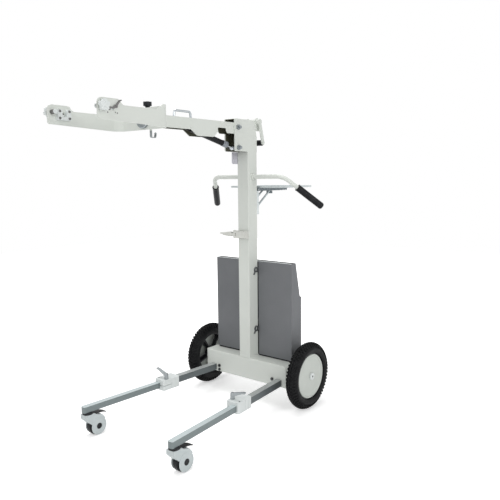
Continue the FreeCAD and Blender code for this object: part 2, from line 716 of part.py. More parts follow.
def make_leg_clamp(name, side):
    """Split block: one end holds the outer tube, the other closes on the inner tube."""
    block = body("leg_clamp_" + name)
    inner, outer = -side * clamp_inner, side * clamp_outer
    low, high = (inner, outer) if side > 0 else (outer, inner)
    front, rear = -clamp_front, clamp_length - clamp_front
    bottom, top = clamp_bottom - leg_height, clamp_top - leg_height
    prism(block, "z", bottom, top, [rectangle(low, high, front, rear)])
    corners = [(low, front), (high, front), (low, rear), (high, rear)]
    round_edges(block, 7, corner_at("z", *corners))
    cut_prism(block, "y", -outer_leg_front, rear, [square(outer_leg / 2 + 0.1)])
    cut_prism(block, "y", front, -outer_leg_front, [square(inner_leg / 2 + 0.2)])
    for groove in (-outer_leg_front + 2, -outer_leg_front + 22):
        outlines = [rectangle(low - 1, low + 1.2, groove, groove + 3)]
        outlines += [rectangle(high - 1.2, high + 1, groove, groove + 3)]
        cut_prism(block, "z", bottom, top, outlines)
    slit_start = -side * (inner_leg / 2)
    slit = (inner, slit_start) if side > 0 else (slit_start, inner)
    opening = rectangle(slit[0], slit[1], -clamp_slit / 2, clamp_slit / 2)
    cut_prism(block, "y", front, -outer_leg_front, [opening])
    screw = (-side * screw_inner, screw_along(), screw_radius + running_gap)
    cut_prism(block, "z", bottom, top, circles=[screw])
    set_screw = (side * set_screw_outer, set_screw_front - clamp_front, 3 + running_gap)
    cut_prism(block, "z", outer_leg / 2, top, circles=[set_screw])
    leg_place(block, side)
    return node(block, "leg_clamp_" + name)


def screw_along():
    return 26 - clamp_front


def make_clamp_lever(name, side):
    """Clamping lever: tapered hub, cranked arm that rises outwards, and its screw."""
    lever = body("clamp_lever_" + name)
    base = clamp_top - leg_height + face_gap
    length = clamp_top - clamp_bottom - 4
    points = [(0, base - length), (screw_radius, base - length), (screw_radius, base), (9.5, base)]
    points += [(8, base + 24), (6, base + 27), (0, base + 27)]
    turned(lever, points)
    end = side * lever_reach
    rise = base + lever_rise
    arm = [(0, base + 14), (0, base + 26), (end * 0.85, rise), (end, rise - 1), (end, rise - 7)]
    arm += [(end * 0.8, rise - 9), (side * 12, base + 15)]
    prism(lever, "y", -4.5, 4.5, [arm])
    round_edges(lever, 2, corner_at("y", arm[2], arm[3], arm[4], arm[5]))
    across, along = on_leg(side, -side * screw_inner, screw_along())
    place(lever, across, along, leg_height, Rotation(Vector(0, 0, 1), side * float(leg_splay)))
    return node(lever, "clamp_lever_" + name)


# Casters, each built round its stem
def caster_place(thing, side):
    across = side * (leg_side + stem_front * sine(leg_splay))
    return place(thing, across, mast_front - stem_front * cosine(leg_splay), 0)


def make_caster_neck(name, side):
    neck = body("caster_neck_" + name)
    top = leg_height - inner_leg / 2
    bore = stem_radius + running_gap
    points = [(bore, neck_bottom), (neck_radius, neck_bottom), (neck_radius, top - 4)]
    points += [(neck_radius - 4, top), (0, top), (0, top - 3), (bore, top - 3)]
    turned(neck, points)
    caster_place(neck, side)
    return node(neck, "caster_neck_" + name)


def make_caster_fork(name, side):
    """Hooded fork with its stem; the axle lies in it as a pin of its own."""
    fork = body("caster_hood_" + name)
    half, top = caster_width / 2, neck_bottom - 0.5
    axle, centre = caster_trail, caster_radius
    hood = [(-20, top), (20, top), (axle - 6, top - 9), (axle + 18, top - 15), (axle + 33, top - 34)]
    hood += [(axle + 22, centre + 6), (axle + 10, centre - 10), (axle - 10, centre - 10), (-20, top - 18)]
    prism(fork, "x", -half, half, [hood])
    round_edges(fork, 5, corner_at("x", *hood[3:]))
    stem_top = leg_height - inner_leg / 2 - 3.3
    prism(fork, "z", top - 6, stem_top, circles=[(0, 0, stem_radius)])
    slot = tread_width / 2 + 0.75
    cut_prism(fork, "x", -slot, slot, circles=[(axle, centre, caster_radius + 2.5)])
    cut_prism(fork, "x", -slot, slot, [rectangle(axle - 12, axle + 12, centre - 12, centre)])
    cut_prism(fork, "x", -slot, slot, [rectangle(15, 34, top - 11.5, top + 1)])
    bores = [(axle, centre, 4 + running_gap), (24, top - 5.5, 2 + running_gap)]
    cut_prism(fork, "x", -half, half, circles=bores)
    caster_place(fork, side)
    pieces = [fork]
    for title, radius, along, height in (("axle", 4, axle, centre), ("hinge", 2, 24, top - 5.5)):
        pin = rod("caster_%s_%s" % (title, name), radius, caster_width)
        across = side * (leg_side + stem_front * sine(leg_splay)) - half
        place(pin, across, mast_front - stem_front * cosine(leg_splay) + along, height, ALONG_X)
        pieces.append(pin)
    return group("caster_fork_" + name, pieces)


def caster_wheel_place(thing, side):
    across = side * (leg_side + stem_front * sine(leg_splay))
    along = mast_front - stem_front * cosine(leg_splay) + caster_trail
    return place(thing, across, along, caster_radius, facing(side))


def make_caster_core(name, side):
    core = body("caster_core_" + name)
    half, seat = tread_width / 2, caster_radius - tread_depth
    bore = 4 + running_gap
    points = [(bore, -half), (11, -half), (12, -half + 2), (seat - 5, -half + 2), (seat - 3, -half)]
    points += [(seat, -half), (seat, half), (seat - 3, half), (seat - 5, half - 2), (12, half - 2)]
    points += [(11, half), (bore, half)]
    turned(core, points)
    caster_wheel_place(core, side)
    return node(core, "caster_core_" + name)


def make_caster_tread(name, side):
    tread = body("caster_tread_" + name)
    half, seat = tread_width / 2, caster_radius - tread_depth + 0.02
    edge = caster_radius - 3
    points = [(seat, -half), (edge, -half), (caster_radius, -half + 5), (caster_radius, half - 5)]
    points += [(edge, half), (seat, half)]
    turned(tread, points)
    caster_wheel_place(tread, side)
    return node(tread, "caster_tread_" + name)


def make_brake_pedal(name, side):
    pedal = body("brake_pedal_" + name)
    top = neck_bottom - 0.5
    half = tread_width / 2 - 0.2
    hinge, height = 24, top - 5.5
    blade = [(hinge - 2, height + 3.5), (hinge + 16, height + 3), (hinge + 40, height)]
    blade += [(hinge + 57, height - 7), (hinge + 57, height - 10), (hinge + 38, height - 4)]
    blade += [(hinge + 16, height - 1.4), (hinge - 2, height - 3.5)]
    prism(pedal, "x", -half, half, [blade])
    prism(pedal, "x", -half, half, circles=[(hinge, height, 4)])
    cut_prism(pedal, "x", -half, half, circles=[(hinge, height, 2 + running_gap)])
    caster_place(pedal, side)
    return node(pedal, "brake_pedal_" + name)


# Mast
def make_mast_tube():
    tube = body("mast_tube")
    half = mast_width / 2
    bottom = beam_bottom + beam_height
    middle = behind(mast_depth / 2)
    outside = rectangle(-half, half, behind(0), behind(mast_depth))
    prism(tube, "z", bottom, head_bottom, [outside])
    round_edges(tube, mast_round, runs_along("z"))
    for low, high in ((half, half + socket_length), (-half - socket_length, -half)):
        prism(tube, "x", low, high, circles=[(middle, bar_height, socket_radius)])
    inside = rectangle(-half + mast_wall, half - mast_wall, behind(mast_wall), behind(mast_depth - mast_wall))
    cut_prism(tube, "z", bottom, head_bottom, [inside])
    reach = half + socket_length
    cut_prism(tube, "x", -reach, reach, circles=[(middle, bar_height, bar_radius + running_gap)])
    return node(tube, "mast_tube")


def make_mast_head():
    """Folded head: two cheeks that reach forward, a top plate and a leaning back."""
    head = body("mast_head")
    half = mast_width / 2
    inner = half - cheek
    side = [(ahead(head_front), head_bottom), (ahead(head_front), head_top)]
    side += [(behind(head_slant_top), head_top), (behind(mast_depth), head_slant_bottom)]
    side += [(behind(mast_depth), head_bottom)]
    prism(head, "x", -half, half, [side])
    round_edges(head, 7, corner_at("x", side[0]))
    round_edges(head, 3, corner_at("x", side[1]))
    roof = head_top - head_plate
    cut_prism(head, "x", -inner, inner, [rectangle(ahead(head_front), behind(0), head_bottom, roof)])
    lean = head_plate + 1
    shaft_back = behind(mast_depth - head_plate)
    shaft = [(behind(head_plate), head_bottom), (behind(head_plate), roof)]
    shaft += [(behind(head_slant_top - lean), roof), (shaft_back, head_slant_bottom), (shaft_back, head_bottom)]
    cut_prism(head, "x", -inner, inner, [shaft])
    bore = bolt_radius + running_gap
    bores = [(ahead(pivot_front), pivot_height, bore), (ahead(strut_front), strut_height, bore)]
    cut_prism(head, "x", -half, half, circles=bores)
    return node(head, "mast_head")


def make_head_bolts():
    pieces = []
    half = mast_width / 2
    spots = (("pivot", pivot_front, pivot_height), ("strut", strut_front, strut_height))
    for name, front, height in spots:
        piece = bolt(name + "_bolt", bolt_radius, bolt_flats, 8, mast_width + 18)
        place(piece, -half, ahead(front), height, ALONG_X)
        outside = hexagon(name + "_nut_body", bolt_flats, 10)
        hole = rod(name + "_nut_bore", bolt_radius + running_gap, 10)
        nut = without(name + "_nut", outside, hole)
        place(nut, half, ahead(front), height, ALONG_X)
        pieces += [piece, nut]
    return group("head_bolts", pieces)


# Arm channel: an inverted U with a belly that covers the strut
def arm_outline():
    rear, front = ahead(arm_rear), ahead(arm_front)
    notch = arm_top - 27
    points = [(front, arm_lower), (front, arm_top), (rear, arm_top), (rear, arm_lower - 3)]
    points += [(ahead(notch_front), arm_lower - 3), (ahead(notch_front + 8), notch - 12)]
    points += [(ahead(notch_front + 10), notch), (ahead(belly_rear - 1), notch)]
    points += [(ahead(belly_rear), belly_low + 22), (ahead(belly_rear + 24), belly_low)]
    points += [(ahead(belly_front - 35), belly_low), (ahead(belly_front), arm_lower)]
    return points


def make_arm_channel():
    arm = body("arm_channel_body")
    half = arm_width / 2
    points = arm_outline()
    prism(arm, "x", -half, half, [points])
    round_edges(arm, 18, corner_at("x", points[9]))
    round_edges(arm, 4, corner_at("x", points[2], points[4], points[7]))
    inner = half - arm_wall
    top = arm_top - arm_wall
    cut_prism(arm, "x", -inner, inner, [rectangle(ahead(arm_front), ahead(arm_rear), belly_low, top)])
    pivot = (ahead(pivot_front), pivot_height)
    prism(arm, "x", -half, half, circles=[(pivot[0], pivot[1], bolt_radius + 5)])
    cut_prism(arm, "x", -half, half, circles=[(pivot[0], pivot[1], bolt_radius + running_gap)])
    upper = (ahead(strut_top_front), strut_top_height)
    cut_prism(arm, "x", -half, half, circles=[(upper[0], upper[1], strut_pin + running_gap)])
    pin = rod("strut_upper_pin", strut_pin, arm_width + 4)
    place(pin, -half - 2, upper[0], upper[1], ALONG_X)
    return group("arm_channel", [arm, pin])


def bent_bar(path, radius):
    """Round bar along a wire."""
    start = path.Vertexes[0].Point
    towards = path.Edges[0].tangentAt(path.Edges[0].FirstParameter)
    ring = Part.Wire([Part.Circle(start, towards, float(radius)).toShape()])
    return path.makePipeShell([ring], True, True)


def rounded_path(corners, radius):
    """Straight runs joined by tangent arcs of one radius."""
    edges = []
    last = corners[0]
    for before, corner, after in zip(corners, corners[1:], corners[2:]):
        into = (corner - before).normalize()
        out = (after - corner).normalize()
        turn = into.getAngle(out)
        cutback = float(radius) * math.tan(turn / 2)
        start = corner - into * cutback
        end = corner + out * cutback
        inward = (out - into).normalize()
        middle = corner + inward * (float(radius) / math.cos(turn / 2) - float(radius))
        edges.append(Part.LineSegment(last, start).toShape())
        edges.append(Part.Arc(start, middle, end).toShape())
        last = end
    edges.append(Part.LineSegment(last, corners[-1]).toShape())
    return Part.Wire(edges)


def shaped(label, shape):
    """A piece whose shape no feature above can make."""
    piece = doc.addObject("Part::Feature", label)
    piece.Shape = shape
    return piece


def make_arm_handle():
    """Chrome carrying handle on the arm's top."""
    front, rear = float(ahead(handle_front)), float(ahead(handle_front - handle_span))
    base, top = float(arm_top) + 1, float(arm_top) + 26
    corners = [Vector(0, front, base), Vector(0, front + 3, top)]
    corners += [Vector(0, rear - 3, top), Vector(0, rear, base)]
    handle = shaped("handle_bar", bent_bar(rounded_path(corners, 10), 4.75))
    feet = []
    for name, along in (("front", front), ("rear", rear)):
        foot = rod("handle_foot_" + name, 8, 2.5)
        place(foot, 0, along, arm_top)
        feet.append(foot)
    return node(fused("arm_handle", [handle] + feet), "arm_handle")


def make_roll_housing():
    """Block in the arm's end with the spindle's bore, the lock stud's bore and the cable hook under it."""
    block = body("roll_housing_block")
    half = arm_width / 2 - arm_wall - 0.1
    plate_rear = back_plate_front - fork_wall - face_gap
    front, rear = ahead(plate_rear), ahead(housing_rear)
    top = arm_top - arm_wall
    prism(block, "y", front, rear, [rectangle(-half, half, arm_lower, top)])
    shoulder = ahead(arm_front + 0.5)
    wide = arm_width / 2
    prism(block, "y", front, shoulder, [rectangle(-wide, wide, arm_lower, arm_top)])
    corners = [(-wide, arm_lower), (wide, arm_lower), (-wide, arm_top), (wide, arm_top)]
    round_edges(block, 4, corner_at("y", *corners))
    cut_prism(block, "y", front, rear, circles=[(0, roll_height, spindle_radius + running_gap)])
    cut_prism(block, "z", roll_height, arm_top, circles=[(0, ahead(knob_front), screw_radius + running_gap)])
    hook = shaped("cable_hook", make_hook_shape())
    return group("roll_housing", [block, hook])


def make_hook_shape():
    """Flat strip bent to a J, with a ball at its end."""
    width, thick = 10, 3
    front, rear = float(ahead(arm_front + 6)), float(ahead(arm_front - 22))
    top = float(arm_lower) - thick / 2
    low = top - 38
    corners = [Vector(0, rear, top), Vector(0, front, top), Vector(0, front, low)]
    corners += [Vector(0, front + 20, low), Vector(0, front + 22, low + 12)]
    path = rounded_path(corners, 5)
    section = [Vector(-width / 2, rear, top - thick / 2), Vector(width / 2, rear, top - thick / 2)]
    section += [Vector(width / 2, rear, top + thick / 2), Vector(-width / 2, rear, top + thick / 2)]
    ring = Part.makePolygon(section + section[:1])
    strip = path.makePipeShell([ring], True, True)
    ball = Part.makeSphere(4.5, corners[-1] + Vector(0, 0, 3))
    return strip.fuse(ball)


# Balancing strut, built along its own Z axis from the lower bolt to the upper pin
def strut_turn():
    run = float(strut_top_front) - float(strut_front)
    rise = float(strut_top_height) - float(strut_height)
    return Rotation(Vector(0, 0, 1), Vector(0, -run, rise))


def strut_span():
    run = float(strut_top_front) - float(strut_front)
    rise = float(strut_top_height) - float(strut_height)
    return math.hypot(run, rise)


def strut_place(thing):
    return place(thing, 0, ahead(strut_front), strut_height, strut_turn())


def make_strut_rod():
    bar = body("strut_rod")
    points = [(0, 6), (rod_radius, 6), (rod_radius, rod_length), (0, rod_length)]
    turned(bar, points)
    prism(bar, "x", -8, 8, circles=[(0, 0, bolt_radius + 4)])
    cut_prism(bar, "x", -8, 8, circles=[(0, 0, bolt_radius + running_gap)])
    strut_place(bar)
    return node(bar, "strut_rod")


def make_strut_cylinder():
    """Cylinder with a blade at its upper end; the blade's eye is loose round the arm's pin."""
    tube = body("strut_cylinder")
    span = strut_span()
    bottom = cylinder_start + collar_length * 0.4
    bore = rod_radius + running_gap
    points = [(bore, bottom), (cylinder_radius, bottom), (cylinder_radius, span - 24)]
    points += [(cylinder_radius - 3, span - 21), (0, span - 21), (0, span - 24), (bore, span - 24)]
    turned(tube, points)
    eye = strut_pin + strut_eye_gap
    outline = [(-9, span - 22), (9, span - 22), (eye + 4, span), (-eye - 4, span)]
    prism(tube, "x", -4, 4, [outline])
    prism(tube, "x", -4, 4, circles=[(0, span, eye + 4)])
    cut_prism(tube, "x", -4, 4, circles=[(0, span, eye)])
    strut_place(tube)
    return node(tube, "strut_cylinder")


def make_strut_collar():
    """Knurled collar that closes the cylinder; a ring of small flats stands for the knurl."""
    collar = body("strut_collar")
    low, high = cylinder_start, cylinder_start + collar_length
    seat = cylinder_start + collar_length * 0.4
    bore = rod_radius + running_gap
    rim = cylinder_radius + 0.02
    points = [(bore, low), (collar_radius - 2, low), (collar_radius, low + 2), (collar_radius, high - 2)]
    points += [(collar_radius - 0.5, high), (rim, high), (rim, seat), (bore, seat)]
    turned(collar, points)
    reach = collar_radius + 0.4
    tooth = [(collar_radius - 0.45, 0), (reach, -0.9), (reach, 0.9)]
    groove = cut_prism(collar, "z", low + 3, high - 3, [tooth])
    polar(collar, [groove], 30)
    strut_place(collar)
    return node(collar, "strut_collar")


# Fork: one plate bent twice, its sides cut to their outline
def fork_plan():
    return ahead(back_plate_front - fork_wall), ahead(fork_front)


def make_fork_plate():
    fork = body("fork_plate")
    rear, front = fork_plan()
    outside = [(-fork_half, front), (-fork_half, rear), (fork_half, rear), (fork_half, front)]
    inner = fork_half - fork_wall
    inside_rear = rear - fork_wall
    points = outside + [(inner, front), (inner, inside_rear), (-inner, inside_rear), (-inner, front)]
    prism(fork, "z", fork_bottom, fork_top, [points])
    round_edges(fork, fork_bend, corner_at("z", (-fork_half, rear), (fork_half, rear)))
    round_edges(fork, fork_bend - fork_wall, corner_at("z", (-inner, inside_rear), (inner, inside_rear)))
    tip_top = fork_top - 2
    saddle_back = front + fork_tip_length
    bend_end = rear - fork_bend
    above = [(front, fork_top), (front, tip_top - 16), (front + 5, tip_top - 5), (front + 16, tip_top)]
    above += [(saddle_back - 27, tip_top), (saddle_back - 17, tip_top - 3), (saddle_back - 9, tip_top - 13)]
    above += [(saddle_back, fork_rib_top), (bend_end - 25, fork_rib_top)]
    above += [(bend_end + 1, tip_top), (bend_end + 6, fork_top)]
    cut_prism(fork, "x", -fork_half, fork_half, [above])
    below = [(front, fork_bottom), (bend_end - 3, fork_bottom)]
    below += [(front + 5, fork_tip_bottom), (front, fork_tip_bottom + 5)]
    cut_prism(fork, "x", -fork_half, fork_half, [below])
    trunnion = (ahead(trunnion_front), trunnion_height, trunnion_radius - 2)
    tip = (ahead(tip_front), tip_height, screw_radius + 0.1)
    stop = (ahead(trunnion_front - 10), trunnion_height - 12, 2.5)
    cut_prism(fork, "x", -fork_half, fork_half, circles=[trunnion, tip, stop])
    hinge = (ahead(keeper_hinge()[0]), keeper_hinge()[1], 3 + running_gap)
    screws = [(along, height, 2.5 + running_gap) for along, height in saddle_screws()]
    cut_prism(fork, "x", -fork_half, fork_half, circles=screws + [hinge])
    seat = (0, roll_height, spindle_radius + running_gap)
    cut_prism(fork, "y", inside_rear, rear, circles=[seat])
    return node(fork, "fork_plate")


def saddle_screws():
    """Places of the four screws of a saddle, along the fork and in height."""
    middle = ahead(trunnion_front + 1)
    spots = []
    for along in (-19, 19):
        for height in (saddle_bottom + 6, saddle_top - 6):
            spots.append((middle + along, height))
    return spots


def make_saddles():
    """Blocks inside the fork's tips, each with an open-topped notch for a trunnion."""
    pieces = []
    middle = ahead(trunnion_front + 1)
    notch = ahead(trunnion_front)
    for name, side in SIDES:
        outer = side * (fork_half - fork_wall)
        inner = outer - side * saddle_depth
        low, high = (inner, outer) if side > 0 else (outer, inner)
        block = body("saddle_" + name)
        half = saddle_length / 2
        outline = rectangle(middle - half, middle + half, saddle_bottom, saddle_top)
        prism(block, "x", low, high, [outline])
        round_edges(block, 3, corner_at("x", *outline))
        cut_prism(block, "x", low, high, circles=[(notch, trunnion_height, trunnion_radius)])
        mouth = [(notch - trunnion_radius, trunnion_height), (notch + trunnion_radius, trunnion_height)]
        mouth += [(notch + trunnion_radius, saddle_top - 4), (notch + trunnion_radius + 3, saddle_top)]
        mouth += [(notch - trunnion_radius - 3, saddle_top), (notch - trunnion_radius, saddle_top - 4)]
        cut_prism(block, "x", low, high, [mouth])
        screws = [(along, height, 2.5 + running_gap) for along, height in saddle_screws()]
        cut_prism(block, "x", low, high, circles=screws)
        pieces.append(block)
    return group("saddles", pieces)


def make_fork_hardware():
    """Saddle screws, and the bushes of the tip clamps."""
    pieces = []
    length = fork_wall + saddle_depth
    for name, side in SIDES:
        inner = side * (fork_half - fork_wall - saddle_depth)
        for number, (along, height) in enumerate(saddle_screws()):
            screw = body("saddle_screw_%s_%d" % (name, number))
            turned(screw, [(0, -3), (3.5, -3), (4.5, -2), (4.5, 0), (2.5, 0), (2.5, length), (0, length)])
            turns = [math.radians(60 * corner) for corner in range(6)]
            socket = [(1.8 * math.cos(turn), 1.8 * math.sin(turn)) for turn in turns]
            cut_prism(screw, "z", -3, -1.2, [socket])
            place(screw, inner, along, height, facing(side))
            pieces.append(screw)
        bush = body("tip_bush_" + name)
        bore = screw_radius + running_gap
        points = [(bore, -bush_length), (bush_radius - 1, -bush_length), (bush_radius, 1 - bush_length)]
        points += [(bush_radius, 0), (bore, 0)]
        turned(bush, points)
        place(bush, side * (fork_half - fork_wall), ahead(tip_front), tip_height, facing(side))
        pieces.append(bush)
    return group("fork_hardware", pieces)


def star_knob(knob, radius, low, high, lobes):
    """Round head with scallops between its lobes."""
    prism(knob, "z", low, high, circles=[(0, 0, radius)])
    scallop = cut_prism(knob, "z", low, high, circles=[(radius * 1.22, 0, radius * 0.42)])
    polar(knob, [scallop], lobes)


def make_tip_knob(name, side):
    """Star knob outside the fork, its stud through the bush and a swivel pad inside."""
    knob = body("tip_knob_" + name)
    start = -fork_wall - bush_length - 8
    pad = [(0, start), (7.5, start), (7.5, start + 4), (screw_radius, start + 6)]
    turned(knob, pad + [(screw_radius, 1), (8, 1), (8, 6), (0, 6)])
    star_knob(knob, tip_knob_radius, 6, 20, 5)
    turned(knob, [(0, 19), (9, 19), (7, 22), (0, 22)])
    place(knob, side * fork_half, ahead(tip_front), tip_height, facing(side))
    return node(knob, "tip_knob_" + name)


def keeper_hinge():
    """Distance in front of the mast and height of the keepers' hinges."""
    return trunnion_front - 13, trunnion_height + 7


def make_keeper(name, side):
    """Latch that closes over the trunnion: a hooked bar outside the fork with a finger lever."""
    keeper = body("keeper_" + name)
    front, height = keeper_hinge()
    hinge = ahead(front)
    low = fork_half + face_gap if side > 0 else -fork_half - face_gap - 4
    high = low + 4
    bar = [(hinge + 4, height - 4), (hinge + 5, height + 4), (hinge - 6, height + 4), (hinge - 12, height - 2)]
    bar += [(hinge - 28, height - 4), (hinge - 29, height - 13), (hinge - 25, height - 14)]
    bar += [(hinge - 24, height - 9), (hinge - 10, height - 8)]
    prism(keeper, "x", low, high, [bar])
    lever = [(hinge - 4, height + 3), (hinge + 2, height - 1)]
    lever += [(hinge + 17, height + 19), (hinge + 14, height + 21)]
    prism(keeper, "x", low, high, [lever])
    tab_low = low if side > 0 else low - 6
    tab = [(hinge + 12, height + 18.5), (hinge + 15.5, height + 17)]
    tab += [(hinge + 17, height + 19), (hinge + 14, height + 21)]
    prism(keeper, "x", tab_low, tab_low + 10, [tab])
    pin_inner, pin_outer = side * (fork_half - fork_wall + face_gap), side * (fork_half + 6)
    pin = (pin_inner, pin_outer) if side > 0 else (pin_outer, pin_inner)
    prism(keeper, "x", pin[0], pin[1], circles=[(hinge, height, 3)])
    return node(keeper, "keeper_" + name)


def make_roll_spindle():
    """Spindle with the disc that lies against the front of the fork's back plate."""
    spindle = body("roll_spindle")
    face = back_plate_front
    tail = housing_rear - 8
    points = [(0, 0), (roll_disc - 2, 0), (roll_disc, 2), (roll_disc, roll_disc_depth)]
    points += [(spindle_radius, roll_disc_depth), (spindle_radius, roll_disc_depth + face - tail - 6)]
    points += [(0, roll_disc_depth + face - tail - 6)]
    turned(spindle, points)
    clip = roll_disc_depth + face - housing_rear + 0.3
    turned(spindle, rectangle(spindle_radius - 1, spindle_radius + 4, clip, clip + 2))
    place(spindle, 0, ahead(face + roll_disc_depth), roll_height, ALONG_Y)
    return node(spindle, "roll_spindle")


def make_roll_knob():
    knob = body("roll_knob")
    tip = roll_height + spindle_radius + 0.3
    points = [(0, tip), (screw_radius, tip), (screw_radius, knob_bottom), (8, knob_bottom)]
    points += [(10, knob_bottom + 5), (10, knob_bottom + 6), (0, knob_bottom + 6)]
    turned(knob, points)
    star_knob(knob, knob_radius, knob_bottom + 5, knob_bottom + knob_height, 5)
    place(knob, 0, ahead(knob_front), 0)
    return node(knob, "roll_knob")


# Handlebar
def bar_corners():
    height, along = float(bar_height), float(behind(mast_depth / 2))
    corner = float(bar_corner)
    end = Vector(corner + float(bar_out), along + float(bar_back), height - float(bar_drop))
    right = [Vector(corner, along, height), end]
    left = [Vector(-point.x, point.y, point.z) for point in reversed(right)]
    return left + right


def make_handlebar():
    path = rounded_path(bar_corners(), bar_bend)
    outside = bent_bar(path, bar_radius)
    inside = bent_bar(path, bar_radius - bar_wall)
    return node(shaped("handlebar", outside.cut(inside)), "handlebar")


def make_grips():
    """Smooth rubber grips: a thin flared mouth, a closed round end."""
    pieces = []
    corners = bar_corners()
    for name, end, before in (("left", corners[0], corners[1]), ("right", corners[3], corners[2])):
        grip = body("grip_" + name)
        sleeve = bar_radius + 0.1
        points = [(sleeve, -grip_length), (grip_radius + 1, -grip_length), (grip_radius, 4 - grip_length)]
        points += [(grip_radius, -3), (grip_radius - 1, 1), (grip_radius - 4, 4), (0, 4)]
        points += [(0, face_gap), (sleeve, face_gap)]
        turned(grip, points)
        turn = Rotation(Vector(0, 0, 1), end - before)
        grip.Placement = FreeCAD.Placement(end, turn)
        pieces.append(grip)
    return group("grips", pieces)


# Detector bin: sheet pocket, shallow at its rim and deep at its foot
def make_detector_bin():
    pocket = body("detector_bin")
    half = bin_width / 2
    front = behind(mast_depth)
    back = front + bin_depth
    throat = front + bin_throat
    outline = [(front, bin_bottom), (front, bin_top), (throat, bin_top), (back - 12, bin_step + 7)]
    outline += [(back, bin_step), (back, bin_bottom)]
    prism(pocket, "x", -half, half, [outline])
    wall = bin_wall
    inside = [(front + wall, bin_bottom + wall), (front + wall, bin_top + 1), (throat - wall, bin_top + 1)]
    inside += [(back - 12 - wall, bin_step + 6.5), (back - wall, bin_step - 1), (back - wall, bin_bottom + wall)]
    cut_prism(pocket, "x", wall - half, half - wall, [inside])
    return node(pocket, "detector_bin")


# Folding tray
def bracket_spots():
    return (("left", -bracket_side), ("right", bracket_side))


def make_tray_brackets():
    """Wall channels with the pins on which the tray arms and the struts turn."""
    pieces = []
    wall = bracket_sheet
    rear = behind(mast_depth)
    top = tray_height - 4
    pivot = (rear + tray_pivot_back, tray_height - tray_pivot_drop)
    lower = (pivot[0], pivot[1] - strut_drop)
    for name, middle in bracket_spots():
        half = bracket_width / 2
        channel = body("wall_channel_" + name)
        outline = rectangle(middle - half, middle + half, rear, rear + bracket_depth)
        prism(channel, "z", bracket_bottom, top, [outline])
        inside = rectangle(middle - half + wall, middle + half - wall, rear + wall, rear + bracket_depth)
        cut_prism(channel, "z", bracket_bottom, top, [inside])
        holes = [(pivot[0], pivot[1], tray_pin + running_gap), (lower[0], lower[1], tray_pin + running_gap)]
        cut_prism(channel, "x", middle - half, middle + half, circles=holes)
        pieces.append(channel)
        for title, spot, width in (("upper", pivot, bracket_width + 5.4), ("lower", lower, bracket_width)):
            pin = rod("tray_pin_%s_%s" % (title, name), tray_pin, width)
            place(pin, middle - width / 2, spot[0], spot[1], ALONG_X)
            pieces.append(pin)
    return group("tray_brackets", pieces)


def make_tray_arms():
    """Inverted channels that straddle the wall channels and carry the tray."""
    pieces = []
    wall = bracket_sheet
    rear = behind(mast_depth)
    pivot = (rear + tray_pivot_back, tray_height - tray_pivot_drop)
    start, end = rear + 3.5, behind(tray_arm_end)
    for name, middle in bracket_spots():
        half = bracket_width / 2 + 2.4
        arm = body("tray_arm_" + name)
        low = tray_height - 14
        side = [(start, tray_height), (start, low), (end - 4, low), (end, low + 5), (end, tray_height)]
        prism(arm, "x", middle - half, middle + half, [side])
        inside = rectangle(start, end, low, tray_height - wall)
        cut_prism(arm, "x", middle - half + wall, middle + half - wall, [inside])
        bar = release_spot()
        holes = [(pivot[0], pivot[1], tray_pin + running_gap), (bar[0], bar[1], 2 + running_gap)]
        scallops = [(end - 12 - 14 * step, low - 1, 4) for step in range(4)]
        cut_prism(arm, "x", middle - half, middle + half, circles=holes + scallops)
        pieces.append(arm)
    return group("tray_arms", pieces)


def make_tray_plate():
    tray = body("tray_plate")
    half = tray_width / 2
    front, rear = behind(tray_start), behind(tray_start + tray_length)
    outline = rectangle(-half, half, front, rear)
    prism(tray, "z", tray_height, tray_height + tray_rim, [outline])
    wall = tray_sheet
    inside = rectangle(wall - half, half - wall, front + wall, rear - wall)
    cut_prism(tray, "z", tray_height + wall, tray_height + tray_rim, [inside])
    round_edges(tray, tray_corner - wall, corner_at("z", *inside))
    round_edges(tray, tray_corner, corner_at("z", *outline))
    return node(tray, "tray_plate")


def make_tray_struts():
    """Bars from the wall channels up into the tray arms."""
    pieces = []
    rear = behind(mast_depth)
    pivot = (rear + tray_pivot_back, tray_height - tray_pivot_drop)
    low = (pivot[0], pivot[1] - strut_drop)
    high = (pivot[0] + strut_hold, pivot[1] + 1)
    run, rise = float(high[0] - low[0]), float(high[1] - low[1])
    length = math.hypot(run, rise)
    turn = Rotation(Vector(0, 1, 0), Vector(0, run, rise))
    for name, middle in bracket_spots():
        strut = body("tray_strut_" + name)
        prism(strut, "x", -2, 2, [rectangle(0, length, -4, 4)])
        prism(strut, "x", -2, 2, circles=[(0, 0, 5)])
        prism(strut, "x", -2, 2, circles=[(length, 0, 4.5)])
        cut_prism(strut, "x", -2, 2, circles=[(0, 0, tray_pin + running_gap)])
        place(strut, middle, low[0], low[1], turn)
        pieces.append(strut)
    return group("tray_struts", pieces)


def release_spot():
    """Place of the release bar's rod, seen from the side."""
    return behind(mast_depth) + tray_pivot_back + strut_hold + 18, tray_height - tray_pivot_drop


def make_tray_release():
    """Tab between the tray arms that frees the struts when it is pressed; its rod runs in their inner walls."""
    release = body("tray_release")
    along, height = release_spot()
    half = bracket_side - 5
    lower = tray_height - 14
    reach = bracket_side - bracket_width / 2
    prism(release, "x", -reach, reach, circles=[(along, height, 2)])
    prism(release, "x", -8, 8, [rectangle(along - 2.5, along + 2.5, lower - 8, height)])
    blade = [(along - 2.5, lower - 1.5), (along + 2.5, lower - 1.5), (along + 4, lower - 13)]
    blade += [(along - 1, lower - 14)]
    prism(release, "x", -half, half, [blade])
    return node(release, "tray_release")


